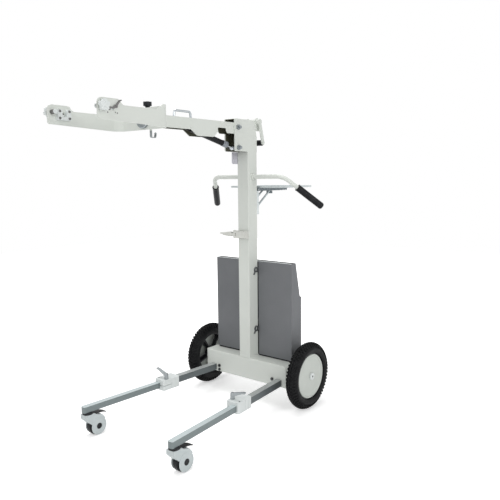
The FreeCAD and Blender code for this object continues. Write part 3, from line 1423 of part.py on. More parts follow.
# Accessory clamp
def make_accessory_clamp():
    clamp = body("accessory_clamp")
    half = mast_width / 2
    front = ahead(acc_depth)
    top = acc_bottom + acc_height
    prism(clamp, "x", -half, half, [rectangle(front, behind(0), acc_bottom, top)])
    round_edges(clamp, 5, corner_at("x", (front, acc_bottom), (front, top)))
    lug = acc_height / 3
    pin = (-acc_pin_side, ahead(acc_depth / 2))
    for low in (acc_bottom, top - lug):
        ear = rectangle(-acc_pin_side, -half + 1, front + 1, behind(0) - 1)
        prism(clamp, "z", low, low + lug, [ear])
        prism(clamp, "z", low, low + lug, circles=[(pin[0], pin[1], acc_depth / 2 - 1)])
    prism(clamp, "z", acc_bottom - 2, top + 2, circles=[(pin[0], pin[1], 3)])
    return node(clamp, "accessory_clamp")


def make_accessory_jaw():
    """Swivelling jaw on the clamp's pin: knuckle, tapered finger and a thin tip."""
    jaw = body("accessory_jaw")
    lug = acc_height / 3
    low, high = acc_bottom + lug + face_gap, acc_bottom + acc_height - lug - face_gap
    middle = ahead(acc_depth / 2)
    pin = -acc_pin_side
    prism(jaw, "z", low, high, circles=[(pin, middle, acc_depth / 2 - 1)])
    finger = [(pin, low + 1), (pin - 14, low + 1), (pin - 18, low - 5), (pin - 30, low - 6)]
    finger += [(pin - acc_reach * 0.8, low - 1), (pin - acc_reach * 0.8, low + 3), (pin - acc_reach, low + 4)]
    finger += [(pin - acc_reach, low + 9), (pin - acc_reach * 0.8, low + 10), (pin - 30, high + 5)]
    finger += [(pin - 18, high + 4), (pin - 14, high - 1), (pin, high - 1)]
    prism(jaw, "y", middle - 6, middle + 6, [finger])
    cut_prism(jaw, "z", low - 8, high + 8, circles=[(pin, middle, 3 + running_gap)])
    return node(jaw, "accessory_jaw")


def make_cable_clips():
    """Loops with a screwed foot on the mast's right side."""
    pieces = []
    side = mast_width / 2
    for number, height in enumerate((upper_clip, lower_clip)):
        clip = body("cable_clip_%d" % number)
        middle = behind(clip_back)
        foot = [(middle - 18, height - 22), (middle - 8, height - 24)]
        foot += [(middle + 2, height - 9), (middle - 8, height - 6)]
        prism(clip, "x", side, side + 2, [foot])
        prism(clip, "x", side, side + 8, circles=[(middle, height, clip_radius)])
        cut_prism(clip, "x", side, side + 8, circles=[(middle, height, clip_radius - 4)])
        pieces.append(clip)
    return group("cable_clips", pieces)


def make_cable_tab():
    tab = body("cable_tab")
    side = mast_width / 2
    outline = rectangle(ahead(tab_front), behind(mast_depth - 12), tab_bottom, head_bottom - 1)
    prism(tab, "x", -side - 3, -side, [outline])
    round_edges(tab, 8, corner_at("x", outline[0], outline[1]))
    return node(tab, "cable_tab")


# Rear bail
def lean_at(height):
    """Place of the head's leaning back at that height."""
    share = (height - head_slant_bottom) / (head_top - head_slant_bottom)
    return behind(mast_depth) - share * (mast_depth - head_slant_top)


def make_bail_bracket():
    bracket = body("bail_bracket")
    hinge = (behind(bail_back), bail_height)
    low, high = bail_height - 40, bail_height - 2
    ear = [(lean_at(low), low), (hinge[0] + 12, low), (hinge[0] + 16, hinge[1]), (lean_at(high), high)]
    sheet_plate = [(lean_at(low), low), (lean_at(low) + 3, low)]
    sheet_plate += [(lean_at(high) + 3, high), (lean_at(high), high)]
    inner, outer = 24, 28
    prism(bracket, "x", -outer, outer, [sheet_plate])
    for start in (-outer, inner):
        prism(bracket, "x", start, start + 4, [ear])
        prism(bracket, "x", start, start + 4, circles=[(hinge[0], hinge[1], bail_hub + 5)])
    bore = (hinge[0], hinge[1], bail_hub + running_gap)
    cut_prism(bracket, "x", -outer, outer, circles=[bore])
    return node(bracket, "bail_bracket")


def bail_arm_turn():
    fall = Vector(0, float(roller_back - bail_back), float(roller_height - bail_height))
    return Rotation(Vector(0, 0, 1), fall), fall.Length


def make_rear_bail():
    """Hinge tube, two arms, and the heads of the screws at both ends of each arm."""
    turn, length = bail_arm_turn()
    bail = body("bail_frame")
    outer = bail_side + bail_arm
    prism(bail, "x", -bail_side, bail_side, circles=[(0, 0, bail_hub)])
    for low in (-outer, bail_side):
        prism(bail, "x", low, low + bail_arm, [rectangle(-bail_width, bail_width, 0, length)])
        prism(bail, "x", low, low + bail_arm, circles=[(0, 0, bail_hub + 1)])
        prism(bail, "x", low, low + bail_arm, circles=[(0, length, bail_width)])
    bores = [(0, length, screw_radius + running_gap)]
    cut_prism(bail, "x", -outer, outer, circles=bores)
    place(bail, 0, behind(bail_back), bail_height, turn)
    pieces = [bail]
    through = rod("roller_bolt", screw_radius, 2 * outer)
    place(through, -outer, behind(roller_back), roller_height, ALONG_X)
    pieces.append(through)
    for name, side in SIDES:
        for title, back, height in (("upper", bail_back, bail_height), ("lower", roller_back, roller_height)):
            cap = rod("bail_screw_%s_%s" % (title, name), 6, 3)
            place(cap, side * outer, behind(back), height, facing(side))
            pieces.append(cap)
    return group("rear_bail", pieces)


def make_bail_roller():
    roller = body("bail_roller")
    half = bail_side - face_gap
    bore = screw_radius + running_gap
    points = [(bore, -half), (roller_radius - 1.5, -half), (roller_radius, 1.5 - half)]
    points += [(roller_radius, half - 1.5), (roller_radius - 1.5, half), (bore, half)]
    turned(roller, points)
    place(roller, 0, behind(roller_back), roller_height, ALONG_X)
    return node(roller, "bail_roller")


# The whole stand
make_crossbeam()
make_frame_bolts()
make_stub_axles()
for title, way in SIDES:
    make_tyre(title, way)
    make_rim(title, way)
    make_wheel_cover(title, way)
    make_outer_leg(title, way)
    make_inner_leg(title, way)
    make_leg_clamp(title, way)
    make_clamp_lever(title, way)
    make_caster_neck(title, way)
    make_caster_fork(title, way)
    make_caster_core(title, way)
    make_caster_tread(title, way)
    make_brake_pedal(title, way)
    make_tip_knob(title, way)
    make_keeper(title, way)
make_mast_tube()
make_mast_head()
make_head_bolts()
make_arm_channel()
make_arm_handle()
make_roll_housing()
make_strut_rod()
make_strut_cylinder()
make_strut_collar()
make_fork_plate()
make_saddles()
make_fork_hardware()
make_roll_spindle()
make_roll_knob()
make_handlebar()
make_grips()
make_detector_bin()
make_tray_brackets()
make_tray_arms()
make_tray_plate()
make_tray_struts()
make_tray_release()
make_accessory_clamp()
make_accessory_jaw()
make_cable_clips()
make_cable_tab()
make_bail_bracket()
make_rear_bail()
make_bail_roller()

doc.recompute()
for thing in doc.Objects:
    if "Invalid" in thing.State or "Error" in thing.State:
        raise RuntimeError("%s of %s failed" % (thing.Name, [owner.Name for owner in thing.InList]))
for label, thing in nodes:
    if thing.Shape.isNull() or not thing.Shape.isValid():
        raise RuntimeError(label + " has no valid shape")
for label, thing in nodes:
    thing.Shape.exportStep("parts/%s.step" % label)
    solids = thing.Shape.Solids
    print("%-22s %2d solids %10.0f mm3" % (label, len(solids), sum(solid.Volume for solid in solids)))
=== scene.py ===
# %% [markdown]
# # A wheeled stand for a portable x-ray head
# The real stand is a low white beam on two solid tyres, two splayed aluminium legs, a square mast and a
# balanced arm that carries a fork. Its solid pieces come from the frame, so this lesson gives them their
# finishes and adds what the solids leave out: tread, a weld, a knurl, caps, and dark strips as painted shade
# in the bin's gaps.
# We start by loading the frame, with a helper that measures the box of any of its solids.

# %% Load the frame
import json
import math

import bmesh
import bpy
from mathutils import Matrix, Vector

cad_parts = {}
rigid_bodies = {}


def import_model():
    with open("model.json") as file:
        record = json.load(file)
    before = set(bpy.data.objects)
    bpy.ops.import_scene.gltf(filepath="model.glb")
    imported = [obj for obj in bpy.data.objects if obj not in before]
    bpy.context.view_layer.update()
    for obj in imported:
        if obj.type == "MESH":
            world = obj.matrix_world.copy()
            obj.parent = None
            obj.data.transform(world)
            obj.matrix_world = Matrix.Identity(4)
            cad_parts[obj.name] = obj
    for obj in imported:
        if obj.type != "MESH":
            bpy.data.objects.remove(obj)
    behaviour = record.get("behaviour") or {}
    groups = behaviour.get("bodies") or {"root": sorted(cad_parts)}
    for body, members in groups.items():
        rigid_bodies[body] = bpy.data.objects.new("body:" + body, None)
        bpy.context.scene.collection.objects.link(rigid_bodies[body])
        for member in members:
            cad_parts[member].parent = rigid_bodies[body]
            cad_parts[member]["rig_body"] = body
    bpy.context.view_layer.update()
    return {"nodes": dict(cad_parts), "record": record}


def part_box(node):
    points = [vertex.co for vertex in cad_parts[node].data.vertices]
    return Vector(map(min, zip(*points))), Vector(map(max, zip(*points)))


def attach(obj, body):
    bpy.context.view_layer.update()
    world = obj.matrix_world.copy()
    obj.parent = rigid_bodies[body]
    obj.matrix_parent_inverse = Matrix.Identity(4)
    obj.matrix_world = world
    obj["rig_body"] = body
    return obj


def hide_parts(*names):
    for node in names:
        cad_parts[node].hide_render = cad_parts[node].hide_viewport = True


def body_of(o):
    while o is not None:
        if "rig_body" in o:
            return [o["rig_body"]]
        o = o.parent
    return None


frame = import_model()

# %% [markdown]
# ## The camera
# The photograph was taken from the stand's front left, a little above the handlebar, with a long lens.
# A camera can be aimed by a constraint, but here its three axes are worked out from turn, tilt and roll,
# because that puts every pixel where the photograph has it and leaves nothing live in the file.

# %% Place the camera
# Metres, radians, and millimetres on a 36 mm sensor.
EYE = Vector((1.63041, -1.73659, 1.02205))
TURN = math.radians(38.478)
TILT = math.radians(7.133)
ROLL = math.radians(-0.551)
LENS = 41.327


def camera_matrix(eye, turn, tilt, roll):
    """World matrix of a camera that looks along +Y when turn, tilt and roll are zero."""
    ahead = Vector((-math.sin(turn) * math.cos(tilt), math.cos(turn) * math.cos(tilt), -math.sin(tilt)))
    level = Vector((math.cos(turn), math.sin(turn), 0))
    up = level.cross(ahead)
    right = level * math.cos(roll) + up * math.sin(roll)
    up = up * math.cos(roll) - level * math.sin(roll)
    matrix = Matrix((right, up, -ahead)).transposed().to_4x4()
    matrix.translation = eye
    return matrix


lens = bpy.data.cameras.new("photo_lens")
lens.lens = LENS
lens.sensor_width = 36
lens.clip_end = 50
camera = bpy.data.objects.new("photo_camera", lens)
bpy.context.scene.collection.objects.link(camera)
camera.matrix_world = camera_matrix(EYE, TURN, TILT, ROLL)
bpy.context.scene.camera = camera
print("camera at", [round(value, 3) for value in EYE])

# %% [markdown]
# ## Helpers for colours and nodes
# Blender works in linear light, while colours are read off a screen, so a helper turns one into the other.
# Every material below is a tree of small sums. Written out, each node takes four lines, so three helpers
# make the commonest nodes and take either a number or another node's output for each of their inputs.

# %% Colours and small nodes
def tone(red, green, blue):
    """A screen colour of 0 to 255 as the linear colour that Blender works in."""
    linear = []
    for value in (red, green, blue):
        part = value / 255
        linear.append(part / 12.92 if part <= 0.04045 else ((part + 0.055) / 1.055) ** 2.4)
    return (*linear, 1.0)


def add_to_scene(name, data):
    """A new object in the scene for a mesh or a lamp."""
    made = bpy.data.objects.new(name, data)
    bpy.context.scene.collection.objects.link(made)
    return made


def put(tree, target, value):
    """Links a socket to an input, or sets the input to a plain value."""
    if isinstance(value, bpy.types.NodeSocket):
        tree.links.new(value, target)
    else:
        target.default_value = value


def sum_node(tree, operation, *values):
    """A math node of one or two values, each a socket or a number; returns its result."""
    made = tree.nodes.new("ShaderNodeMath")
    made.operation = operation
    for target, value in zip(made.inputs, values):
        put(tree, target, value)
    return made.outputs[0]


def span_node(tree, value, start, end, **settings):
    """A map range node that turns a span of values (start) into another (end)."""
    made = tree.nodes.new("ShaderNodeMapRange")
    for name, setting in settings.items():
        setattr(made, name, setting)
    names = ("From Min", "From Max", "To Min", "To Max")
    for name, number in zip(names, (*start, *end)):
        made.inputs[name].default_value = number
    put(tree, made.inputs["Value"], value)
    return made.outputs["Result"]


def bump_node(tree, height, depth, strength=1.0):
    """Relief of a depth in metres; returns the bent normal."""
    made = tree.nodes.new("ShaderNodeBump")
    made.inputs["Distance"].default_value = depth
    made.inputs["Strength"].default_value = strength
    put(tree, made.inputs["Height"], height)
    return made.outputs["Normal"]


print("middle grey on screen is", round(tone(128, 128, 128)[0], 3), "in linear light")

# %% [markdown]
# ## The floor
# A studio photograph on white paper has no visible floor, only a faint contact shadow. A flat plane takes
# that shadow. A glow that only the camera and mirrors see lifts the paper to white, more so away from the
# stand, so no edge of the floor shows. A curved paper sweep would do the same, but a plane is plainer.

# %% Lay the floor
FLOOR_HALF = 6.0
# The glow grows over these metres from the middle, and between these strengths.
GLOW_REACH = (0.5, 2.2)
GLOW = (0.42, 1.0)


def seen_plain(tree):
    """One for rays from the camera, mirrors and glass, and nought for the light itself."""
    rays = tree.nodes.new("ShaderNodeLightPath").outputs
    seen = sum_node(tree, "MAXIMUM", rays["Is Camera Ray"], rays["Is Glossy Ray"])
    return sum_node(tree, "MAXIMUM", seen, rays["Is Transmission Ray"])


def make_paper():
    """White paper that glows for the camera, more the further it is from the stand."""
    paper = bpy.data.materials.new("white_paper")
    paper.use_nodes = True
    tree = paper.node_tree
    shader = tree.nodes["Principled BSDF"]
    shader.inputs["Base Color"].default_value = (0.93, 0.93, 0.93, 1)
    shader.inputs["Roughness"].default_value = 0.9
    shader.inputs["Specular IOR Level"].default_value = 0.1
    coordinates = tree.nodes.new("ShaderNodeTexCoord")
    fibres = tree.nodes.new("ShaderNodeTexNoise")
    fibres.inputs["Scale"].default_value = 60
    tree.links.new(coordinates.outputs["Object"], fibres.inputs["Vector"])
    tree.links.new(bump_node(tree, fibres.outputs["Fac"], 0.0001), shader.inputs["Normal"])
    distance = tree.nodes.new("ShaderNodeVectorMath")
    distance.operation = "LENGTH"
    tree.links.new(coordinates.outputs["Object"], distance.inputs[0])
    fade = span_node(tree, distance.outputs["Value"], GLOW_REACH, GLOW, interpolation_type="SMOOTHSTEP")
    shader.inputs["Emission Color"].default_value = (1, 1, 1, 1)
    tree.links.new(sum_node(tree, "MULTIPLY", fade, seen_plain(tree)), shader.inputs["Emission Strength"])
    return paper


def make_floor():
    mesh = bpy.data.meshes.new("floor")
    corners = [(-FLOOR_HALF, -FLOOR_HALF, 0), (FLOOR_HALF, -FLOOR_HALF, 0),
               (FLOOR_HALF, FLOOR_HALF, 0), (-FLOOR_HALF, FLOOR_HALF, 0)]
    mesh.from_pydata(corners, [], [(0, 1, 2, 3)])
    mesh.materials.append(make_paper())
    floor = add_to_scene("floor", mesh)
    return floor


floor = make_floor()
print("floor", 2 * FLOOR_HALF, "m wide")

# %% [markdown]
# ## The light
# The photograph has soft shadows and bright right-hand faces: large lamps in front, above and at the right.
# The air itself is a second, even light. It is white for the camera, yet dimmer for the stand, because one
# brightness for both would either leave a grey background or bleach the pale paint.

# %% Light the studio
def soft_lamp(name, place, aim, width, watts):
    """A square lamp at a place, turned to face a point."""
    data = bpy.data.lights.new(name, "AREA")
    data.size = width
    data.energy = watts
    lamp = add_to_scene(name, data)
    lamp.location = place
    lamp.rotation_mode = "QUATERNION"
    lamp.rotation_quaternion = (Vector(aim) - Vector(place)).to_track_quat("-Z", "Y")
    return lamp


LAMPS = (
    ("front_lamp", (0.6, -4.2, 3.4), (0, 0, 0.7), 2.2, 52),
    ("top_lamp", (-0.8, 0.4, 4.6), (0, 0, 0.6), 3.0, 90),
    ("side_lamp", (4.4, -0.6, 2.4), (0, 0, 0.9), 2.2, 62),
)
AIR_LIGHT, AIR_SEEN = 0.46, 1.0

for lamp_values in LAMPS:
    soft_lamp(*lamp_values)
world = bpy.data.worlds.new("studio")
bpy.context.scene.world = world
world.use_nodes = True
air = world.node_tree
background = air.nodes["Background"]
background.inputs["Color"].default_value = (1, 1, 1, 1)
strength = span_node(air, seen_plain(air), (0.0, 1.0), (AIR_LIGHT, AIR_SEEN))
air.links.new(strength, background.inputs["Strength"])
bpy.context.scene.view_settings.view_transform = "Standard"
print("lamps:", len(bpy.data.lights))

# %% [markdown]
# ## Finishes
# Powder coat, moulded plastic, rubber and anodised aluminium differ less in colour than in their fine
# surface: an orange-peel ripple, a mould's grain, drawing marks along a tube. Each finish is a small
# node tree on Object coordinates, so it keeps its scale on every piece and needs no unwrapping. One class
# holds the nodes that all of them share, and a value that is the same all over sits on the shader itself.

# %% Tools for finishes
NOISE_SPAN = (0.3, 0.7)
# A mix node has sockets for every kind of data; these are the ones for colours.
MIX_SHARE, MIX_FIRST, MIX_SECOND, MIX_RESULT = 0, 6, 7, 2


class Finish:
    """One material and the few nodes that all finishes here share."""

    def __init__(self, name, colour, roughness, metallic=0.0, specular=0.5):
        self.material = bpy.data.materials.new(name)
        self.material.use_nodes = True
        self.tree = self.material.node_tree
        self.shader = self.tree.nodes["Principled BSDF"]
        self.shader.inputs["Base Color"].default_value = colour
        self.shader.inputs["Roughness"].default_value = roughness
        self.shader.inputs["Metallic"].default_value = metallic
        self.shader.inputs["Specular IOR Level"].default_value = specular
        self.place = self.tree.nodes.new("ShaderNodeTexCoord").outputs["Object"]

    def noise(self, scale, detail=3.0, stretch=(1, 1, 1), turn=0.0):
        """Noise on the piece; stretch above 1 packs it closer along that axis."""
        mapping = self.tree.nodes.new("ShaderNodeMapping")
        mapping.inputs["Rotation"].default_value = (0, 0, turn)
        mapping.inputs["Scale"].default_value = stretch
        texture = self.tree.nodes.new("ShaderNodeTexNoise")
        texture.inputs["Scale"].default_value = scale
        texture.inputs["Detail"].default_value = detail
        self.tree.links.new(self.place, mapping.inputs["Vector"])
        self.tree.links.new(mapping.outputs["Vector"], texture.inputs["Vector"])
        return texture.outputs["Fac"]

    def colour(self, pattern, low, high):
        """Base colour between two tones."""
        ramp = self.tree.nodes.new("ShaderNodeValToRGB")
        for stop, position, end in zip(ramp.color_ramp.elements, NOISE_SPAN, (low, high)):
            stop.position = position
            stop.color = end
        self.tree.links.new(pattern, ramp.inputs["Fac"])
        self.tree.links.new(ramp.outputs["Color"], self.shader.inputs["Base Color"])
        return ramp.outputs["Color"]

    def zone(self, coat, other, *limits):
        """Another colour where every limit holds; a limit is an axis, a test and a value in metres."""
        apart = self.tree.nodes.new("ShaderNodeSeparateXYZ")
        self.tree.links.new(self.place, apart.inputs["Vector"])
        share = None
        for axis, operation, value in limits:
            reach = apart.outputs[axis[-1]]
            if axis.startswith("|"):
                reach = sum_node(self.tree, "ABSOLUTE", reach)
            within = sum_node(self.tree, operation, reach, value)
            share = sum_node(self.tree, "MULTIPLY", share, within) if share else within
        mix = self.tree.nodes.new("ShaderNodeMix")
        mix.data_type = "RGBA"
        mix.inputs[MIX_SECOND].default_value = other
        self.tree.links.new(share, mix.inputs[MIX_SHARE])
        self.tree.links.new(coat, mix.inputs[MIX_FIRST])
        self.tree.links.new(mix.outputs[MIX_RESULT], self.shader.inputs["Base Color"])

    def roughness(self, pattern, low, high):
        """Roughness between two values, following a pattern."""
        spread = span_node(self.tree, pattern, NOISE_SPAN, (low, high))
        self.tree.links.new(spread, self.shader.inputs["Roughness"])

    def relief(self, pattern, depth, strength=1.0):
        """Fine bumps that follow a pattern."""
        self.tree.links.new(bump_node(self.tree, pattern, depth, strength), self.shader.inputs["Normal"])


def mixed(colour, other, share):
    """A colour, moved by a share towards another."""
    return tuple(a + (b - a) * share for a, b in zip(colour, other))


def darker(colour, share=0.06):
    return mixed(colour, (0, 0, 0, 1), share)


def lighter(colour, share=0.05):
    return mixed(colour, (1, 1, 1, 1), share)


print("noise is spread over", NOISE_SPAN)

# %% [markdown]
# ### Paint, plastic and rubber
# Powder paint melts into an even coat with a faint orange-peel ripple, plastic takes the grain of its mould,
# and rubber wears dusty in its hollows. Photographs of such surfaces could be wrapped round the pieces, but
# noise at the right scale never repeats, has no seam and stays the same size on a screw and on the bin.

# %% Paint, plastic and rubber
WHITE = tone(216, 220, 214)


def powder_coat(name, colour, roughness=0.42, specular=0.4, zone_colour=None, limits=()):
    """Baked powder paint: even colour, fine orange-peel ripple, soft gloss; another colour in a zone if
    asked, used for painted shade inside the head and arm and for the hook's own grey.
    """
    paint = Finish(name, colour, roughness, specular=specular)
    coat = paint.colour(paint.noise(7, 2), darker(colour, 0.03), lighter(colour, 0.02))
    if zone_colour:
        paint.zone(coat, zone_colour, *limits)
    paint.roughness(paint.noise(120, 4), roughness - 0.05, roughness + 0.08)
    paint.relief(paint.noise(900, 3), 0.00012, 0.5)
    return paint.material


def moulded(name, colour, roughness=0.55, grain=1400, specular=0.4):
    """Injection-moulded plastic with the fine grain of its mould."""
    plastic = Finish(name, colour, roughness, specular=specular)
    plastic.colour(plastic.noise(18, 2), darker(colour, 0.05), lighter(colour, 0.03))
    plastic.roughness(plastic.noise(260, 3), roughness - 0.06, roughness + 0.08)
    plastic.relief(plastic.noise(grain, 2), 0.0001, 0.5)
    return plastic.material


def rubber(name, colour, roughness=0.62):
    """Rubber: dusty in the hollows, a dull sheen on the rest."""
    skin = Finish(name, colour, roughness, specular=0.14)
    skin.colour(skin.noise(35, 5), darker(colour, 0.25), lighter(colour, 0.01))
    skin.roughness(skin.noise(180, 3), roughness - 0.1, roughness + 0.12)
    skin.relief(skin.noise(700, 3), 0.00015, 0.6)
    return skin.material


finishes = {
    "white_paint": powder_coat("white_paint", WHITE),
    "bin_paint": powder_coat("bin_paint", tone(113, 115, 118), 0.55, 0.25),
    "black_paint": powder_coat("black_paint", tone(13, 15, 20), 0.35, 0.08),
    "white_plastic": moulded("white_plastic", tone(222, 227, 226)),
    "light_plastic": moulded("light_plastic", tone(198, 206, 207)),
    "grey_plastic": moulded("grey_plastic", tone(72, 76, 78)),
    "lilac_plastic": moulded("lilac_plastic", tone(204, 203, 212)),
    "black_plastic": moulded("black_plastic", tone(24, 26, 30), 0.5, specular=0.18),
    "black_rubber": rubber("black_rubber", tone(16, 18, 22), 0.38),
    "black_tyre": rubber("black_tyre", tone(15, 16, 18), 0.6),
}
print("coats:", ", ".join(finishes))

# %% [markdown]
# ### Metals
# The legs are drawn aluminium tubes, anodised grey, with faint marks along them. In the photograph their
# upper faces catch the light far more than their sides. A lamp placed for that would burn out the white
# paint, so the finish itself is paler above a height. Screws, levers and chrome differ in tone and gloss.

# %% Metals
# Heights just under the upper faces of the two tubes; above them the finish is paler, as a painted
# highlight.
INNER_LEG_LIT_EDGE = 0.129
OUTER_LEG_LIT_EDGE = 0.1313


def drawn_aluminium(name, colour, top, edge, roughness=0.42):
    """Anodised tube with faint drawing marks along it; above an edge height its top is painted lighter, a
    painted highlight, and its sides darker, a painted shade.
    """
    metal = Finish(name, colour, roughness, metallic=0.3, specular=0.3)
    streaks = metal.noise(14, 4, stretch=(60, 1.2, 60))
    shaded_sides = metal.colour(streaks, darker(colour, 0.07), lighter(colour, 0.02))
    metal.zone(shaded_sides, top, ("Z", "GREATER_THAN", edge))
    metal.roughness(streaks, roughness - 0.04, roughness + 0.08)
    metal.relief(streaks, 0.00004, 0.4)
    return metal.material


def plated(name, colour, roughness=0.22, scratches=240):
    """Plated or cast metal with small scratches and handling marks."""
    metal = Finish(name, colour, roughness, metallic=1.0)
    metal.colour(metal.noise(40, 3), darker(colour, 0.08), lighter(colour, 0.04))
    metal.roughness(metal.noise(scratches, 4), roughness - 0.05, roughness + 0.12)
    metal.relief(metal.noise(scratches * 4, 3), 0.00005, 0.4)
    return metal.material


# Painted light: the inner tubes' sides are a darker grey as painted shade, and their tops a pale grey as a
# painted highlight.
finishes["leg_aluminium"] = drawn_aluminium("leg_aluminium", tone(122, 132, 133), tone(194, 204, 205),
                                            INNER_LEG_LIT_EDGE)
finishes["lever_metal"] = plated("lever_metal", tone(150, 155, 157), 0.4, 500)
finishes["zinc_steel"] = plated("zinc_steel", tone(150, 156, 160), 0.3)
finishes["polished_chrome"] = plated("polished_chrome", tone(176, 181, 185), 0.16, 120)
print("all finishes:", ", ".join(sorted(finishes)))

# %% [markdown]
# ### Which finish goes where
# The record names one finish for each solid. A few solids get a variant of their own colour: darker screws,
# a paler tray, a grey hook. The head and the arm are bent sheet, and their insides get a dark olive as
# painted shade; each is one welded piece, so the painted shade is told apart by its place in the piece and
# not by another mesh.

# %% Variants for single solids
# Painted shade: a dark olive on the inside faces of the head and the arm, where shade falls inside the bent
# sheet.
INSIDE_SHADE = tone(84, 84, 70)
HOOK_GREY = tone(150, 156, 158)
PLATE_EDGE = 0.0015
ARM_HALF_INSIDE = 0.0212
HEAD_HALF_INSIDE = 0.0246
HEAD_REAR_WALL = 0.2685
HOOK_HEIGHT = 0.026

hook = (("Z", "LESS_THAN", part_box("roll_housing")[0][2] + HOOK_HEIGHT),)
arm_shaded_inside = (("|X", "LESS_THAN", ARM_HALF_INSIDE),
              ("Z", "LESS_THAN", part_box("arm_channel")[1][2] - PLATE_EDGE))
head_shaded_inside = (("|X", "LESS_THAN", HEAD_HALF_INSIDE),
               ("Z", "LESS_THAN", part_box("mast_head")[1][2] - PLATE_EDGE),
               ("Y", "LESS_THAN", HEAD_REAR_WALL))
variants = (
    # The head and the arm get painted shade inside; the housing's hook keeps its own metal grey.
    (powder_coat("head_paint_shaded_inside", WHITE, zone_colour=INSIDE_SHADE, limits=head_shaded_inside), ("mast_head",)),
    (powder_coat("arm_paint_shaded_inside", WHITE, zone_colour=INSIDE_SHADE, limits=arm_shaded_inside), ("arm_channel",)),
    (powder_coat("housing_paint", WHITE, zone_colour=HOOK_GREY, limits=hook), ("roll_housing",)),
    (powder_coat("tray_paint", tone(210, 217, 218), 0.5, 0.25), ("tray_plate",)),
    (moulded("cover_plastic", tone(198, 203, 197), 0.5), ("wheel_cover_left", "wheel_cover_right")),
    # The outer tubes get the same painted shade on their sides and painted highlight on their tops.
    (drawn_aluminium("outer_tube_painted_light", tone(98, 105, 107), tone(172, 176, 175), OUTER_LEG_LIT_EDGE),
     ("outer_leg_left", "outer_leg_right")),
    (plated("dark_steel", tone(116, 115, 114), 0.35, 300), ("fork_hardware", "keeper_left", "keeper_right")),
    (plated("grey_steel", tone(112, 120, 124), 0.4, 300), ("tray_arms", "tray_release")),
    (plated("collar_steel", tone(118, 123, 128), 0.3, 300), ("strut_collar",)),
    (plated("pale_steel", tone(204, 210, 210), 0.45, 300), ("tray_brackets",)),
    (plated("clamp_metal", tone(184, 185, 180), 0.45, 300), ("accessory_clamp", "accessory_jaw")),
    (plated("strut_steel", tone(172, 180, 182), 0.4, 300), ("tray_struts",)),
    (plated("black_steel", tone(58, 60, 62), 0.4, 300), ("frame_bolts",)),
)
special_finishes = {node: finish for finish, nodes in variants for node in nodes}
print("solids with a finish of their own:", len(special_finishes))

# %% Give every solid its finish
def dress_nodes():
    """Puts on each solid the finish that the record names for it, or its own variant of that."""
    for entry in frame["record"]["subparts"]:
        node = entry["node"]
        mesh = frame["nodes"][node].data
        mesh.materials.clear()
        mesh.materials.append(special_finishes.get(node, finishes[entry["material_slot"]]))
        mesh.update()
    return len(frame["record"]["subparts"])


print("dressed", dress_nodes(), "solids")

# %% [markdown]
# ## The tyres
# A solid tyre of this kind is moulded in one piece: a smooth round carcass, a wavy rib round the middle
# and rows of square blocks each side, the outermost standing proud at the shoulder. We turn the carcass
# from its section, model one pitch of the tread, and let a node tree repeat it round the axle. Painting
# the tread on would be quicker, but the blocks break up the tyre's outline, so they have to be real.

# %% The tyre's section
# Radii from the axle to the section's centre and to the rim's seat, the section's own radius, the tread's
# depth; then the angles across the section at which the tread ends, the sidewall is full and the bead sits.
RING, SEAT = 0.1205, 0.1031
SECTION = 0.0284
RISE = 0.0052
SHOULDER, SIDEWALL, BEAD = math.radians(72), math.radians(90), math.radians(128)
# A fine moulded line runs round the sidewall: its place and width in degrees, its height in metres.
LINE_PLACE, LINE_WIDTH, LINE_RISE = 108, 2.2, 0.0005
SIDEWALL_DROP = 0.0006
BEAD_LIP = 0.0012
HALF_STEPS = 26
CARCASS_STEPS = 108


def section_radius(angle):
    """Carcass radius about the section's centre: lower under the tread, full at the sidewall."""
    under = SECTION - RISE
    blend = min(max((angle - SHOULDER) / (SIDEWALL - SHOULDER), 0), 1)
    full = under + (SECTION - SIDEWALL_DROP - under) * blend * blend * (3 - 2 * blend)
    return full + LINE_RISE * math.exp(-((math.degrees(angle) - LINE_PLACE) / LINE_WIDTH) ** 2)


def carcass_profile():
    """Points (across, out from the axle) round the closed section, bead to bead and along the seat."""
    angles = [BEAD * step / HALF_STEPS for step in range(-HALF_STEPS, HALF_STEPS + 1)]
    points = []
    for angle in angles:
        reach = section_radius(abs(angle))
        points.append((reach * math.sin(angle), RING + reach * math.cos(angle)))
    edge = points[-1][0] - BEAD_LIP
    return points + [(edge, SEAT), (0, SEAT), (-edge, SEAT)]


def turned_ring(name, profile, steps):
    """Closed section turned about the X axis, as a mesh."""
    mesh = bpy.data.meshes.new(name)
    corners = []
    for step in range(steps):
        turn = 2 * math.pi * step / steps
        corners += [(x, out * math.cos(turn), out * math.sin(turn)) for x, out in profile]
    count = len(profile)
    faces = []
    for step in range(steps):
        here, there = step * count, (step + 1) % steps * count
        for index in range(count):
            following = (index + 1) % count
            faces.append((here + index, here + following, there + following, there + index))
    mesh.from_pydata(corners, [], faces)
    return mesh


carcass = turned_ring("tyre_carcass", carcass_profile(), CARCASS_STEPS)
print("carcass faces:", len(carcass.polygons))

# %% [markdown]
# ### One pitch of the tread
# The tread repeats round the wheel, so only one pitch is modelled: a wave of the middle rib and three
# blocks on each side. The outer row is the widest, because it breaks up the outline that is seen against the
# paper. Blocks taper, as anything must that is pulled from a mould, and sink a little into the carcass.

# %% One pitch of the tread
PITCHES = 56
# Rows of blocks: from and to how many degrees across the section, and how far round in shares of a pitch.
BLOCK_ROWS = ((15, 27, 0.5), (32, 45, 0.0), (50, 71, 0.0))
BLOCK_SHARE = 0.5
BLOCK_ROOT = 0.0012
BLOCK_TAPER = 0.16
BLOCK_LEAN = 0.05
RIB_HALF, RIB_SWAY, RIB_STATIONS = 0.0026, 0.0022, 6
RIB_FLARE, RIB_ROOT = 0.0006, 0.001


def on_section(angle, reach, turn):
    """Point at an angle across the section and a turn round the axle."""
    out = RING + reach * math.cos(angle)
    return (reach * math.sin(angle), out * math.sin(turn), out * math.cos(turn))


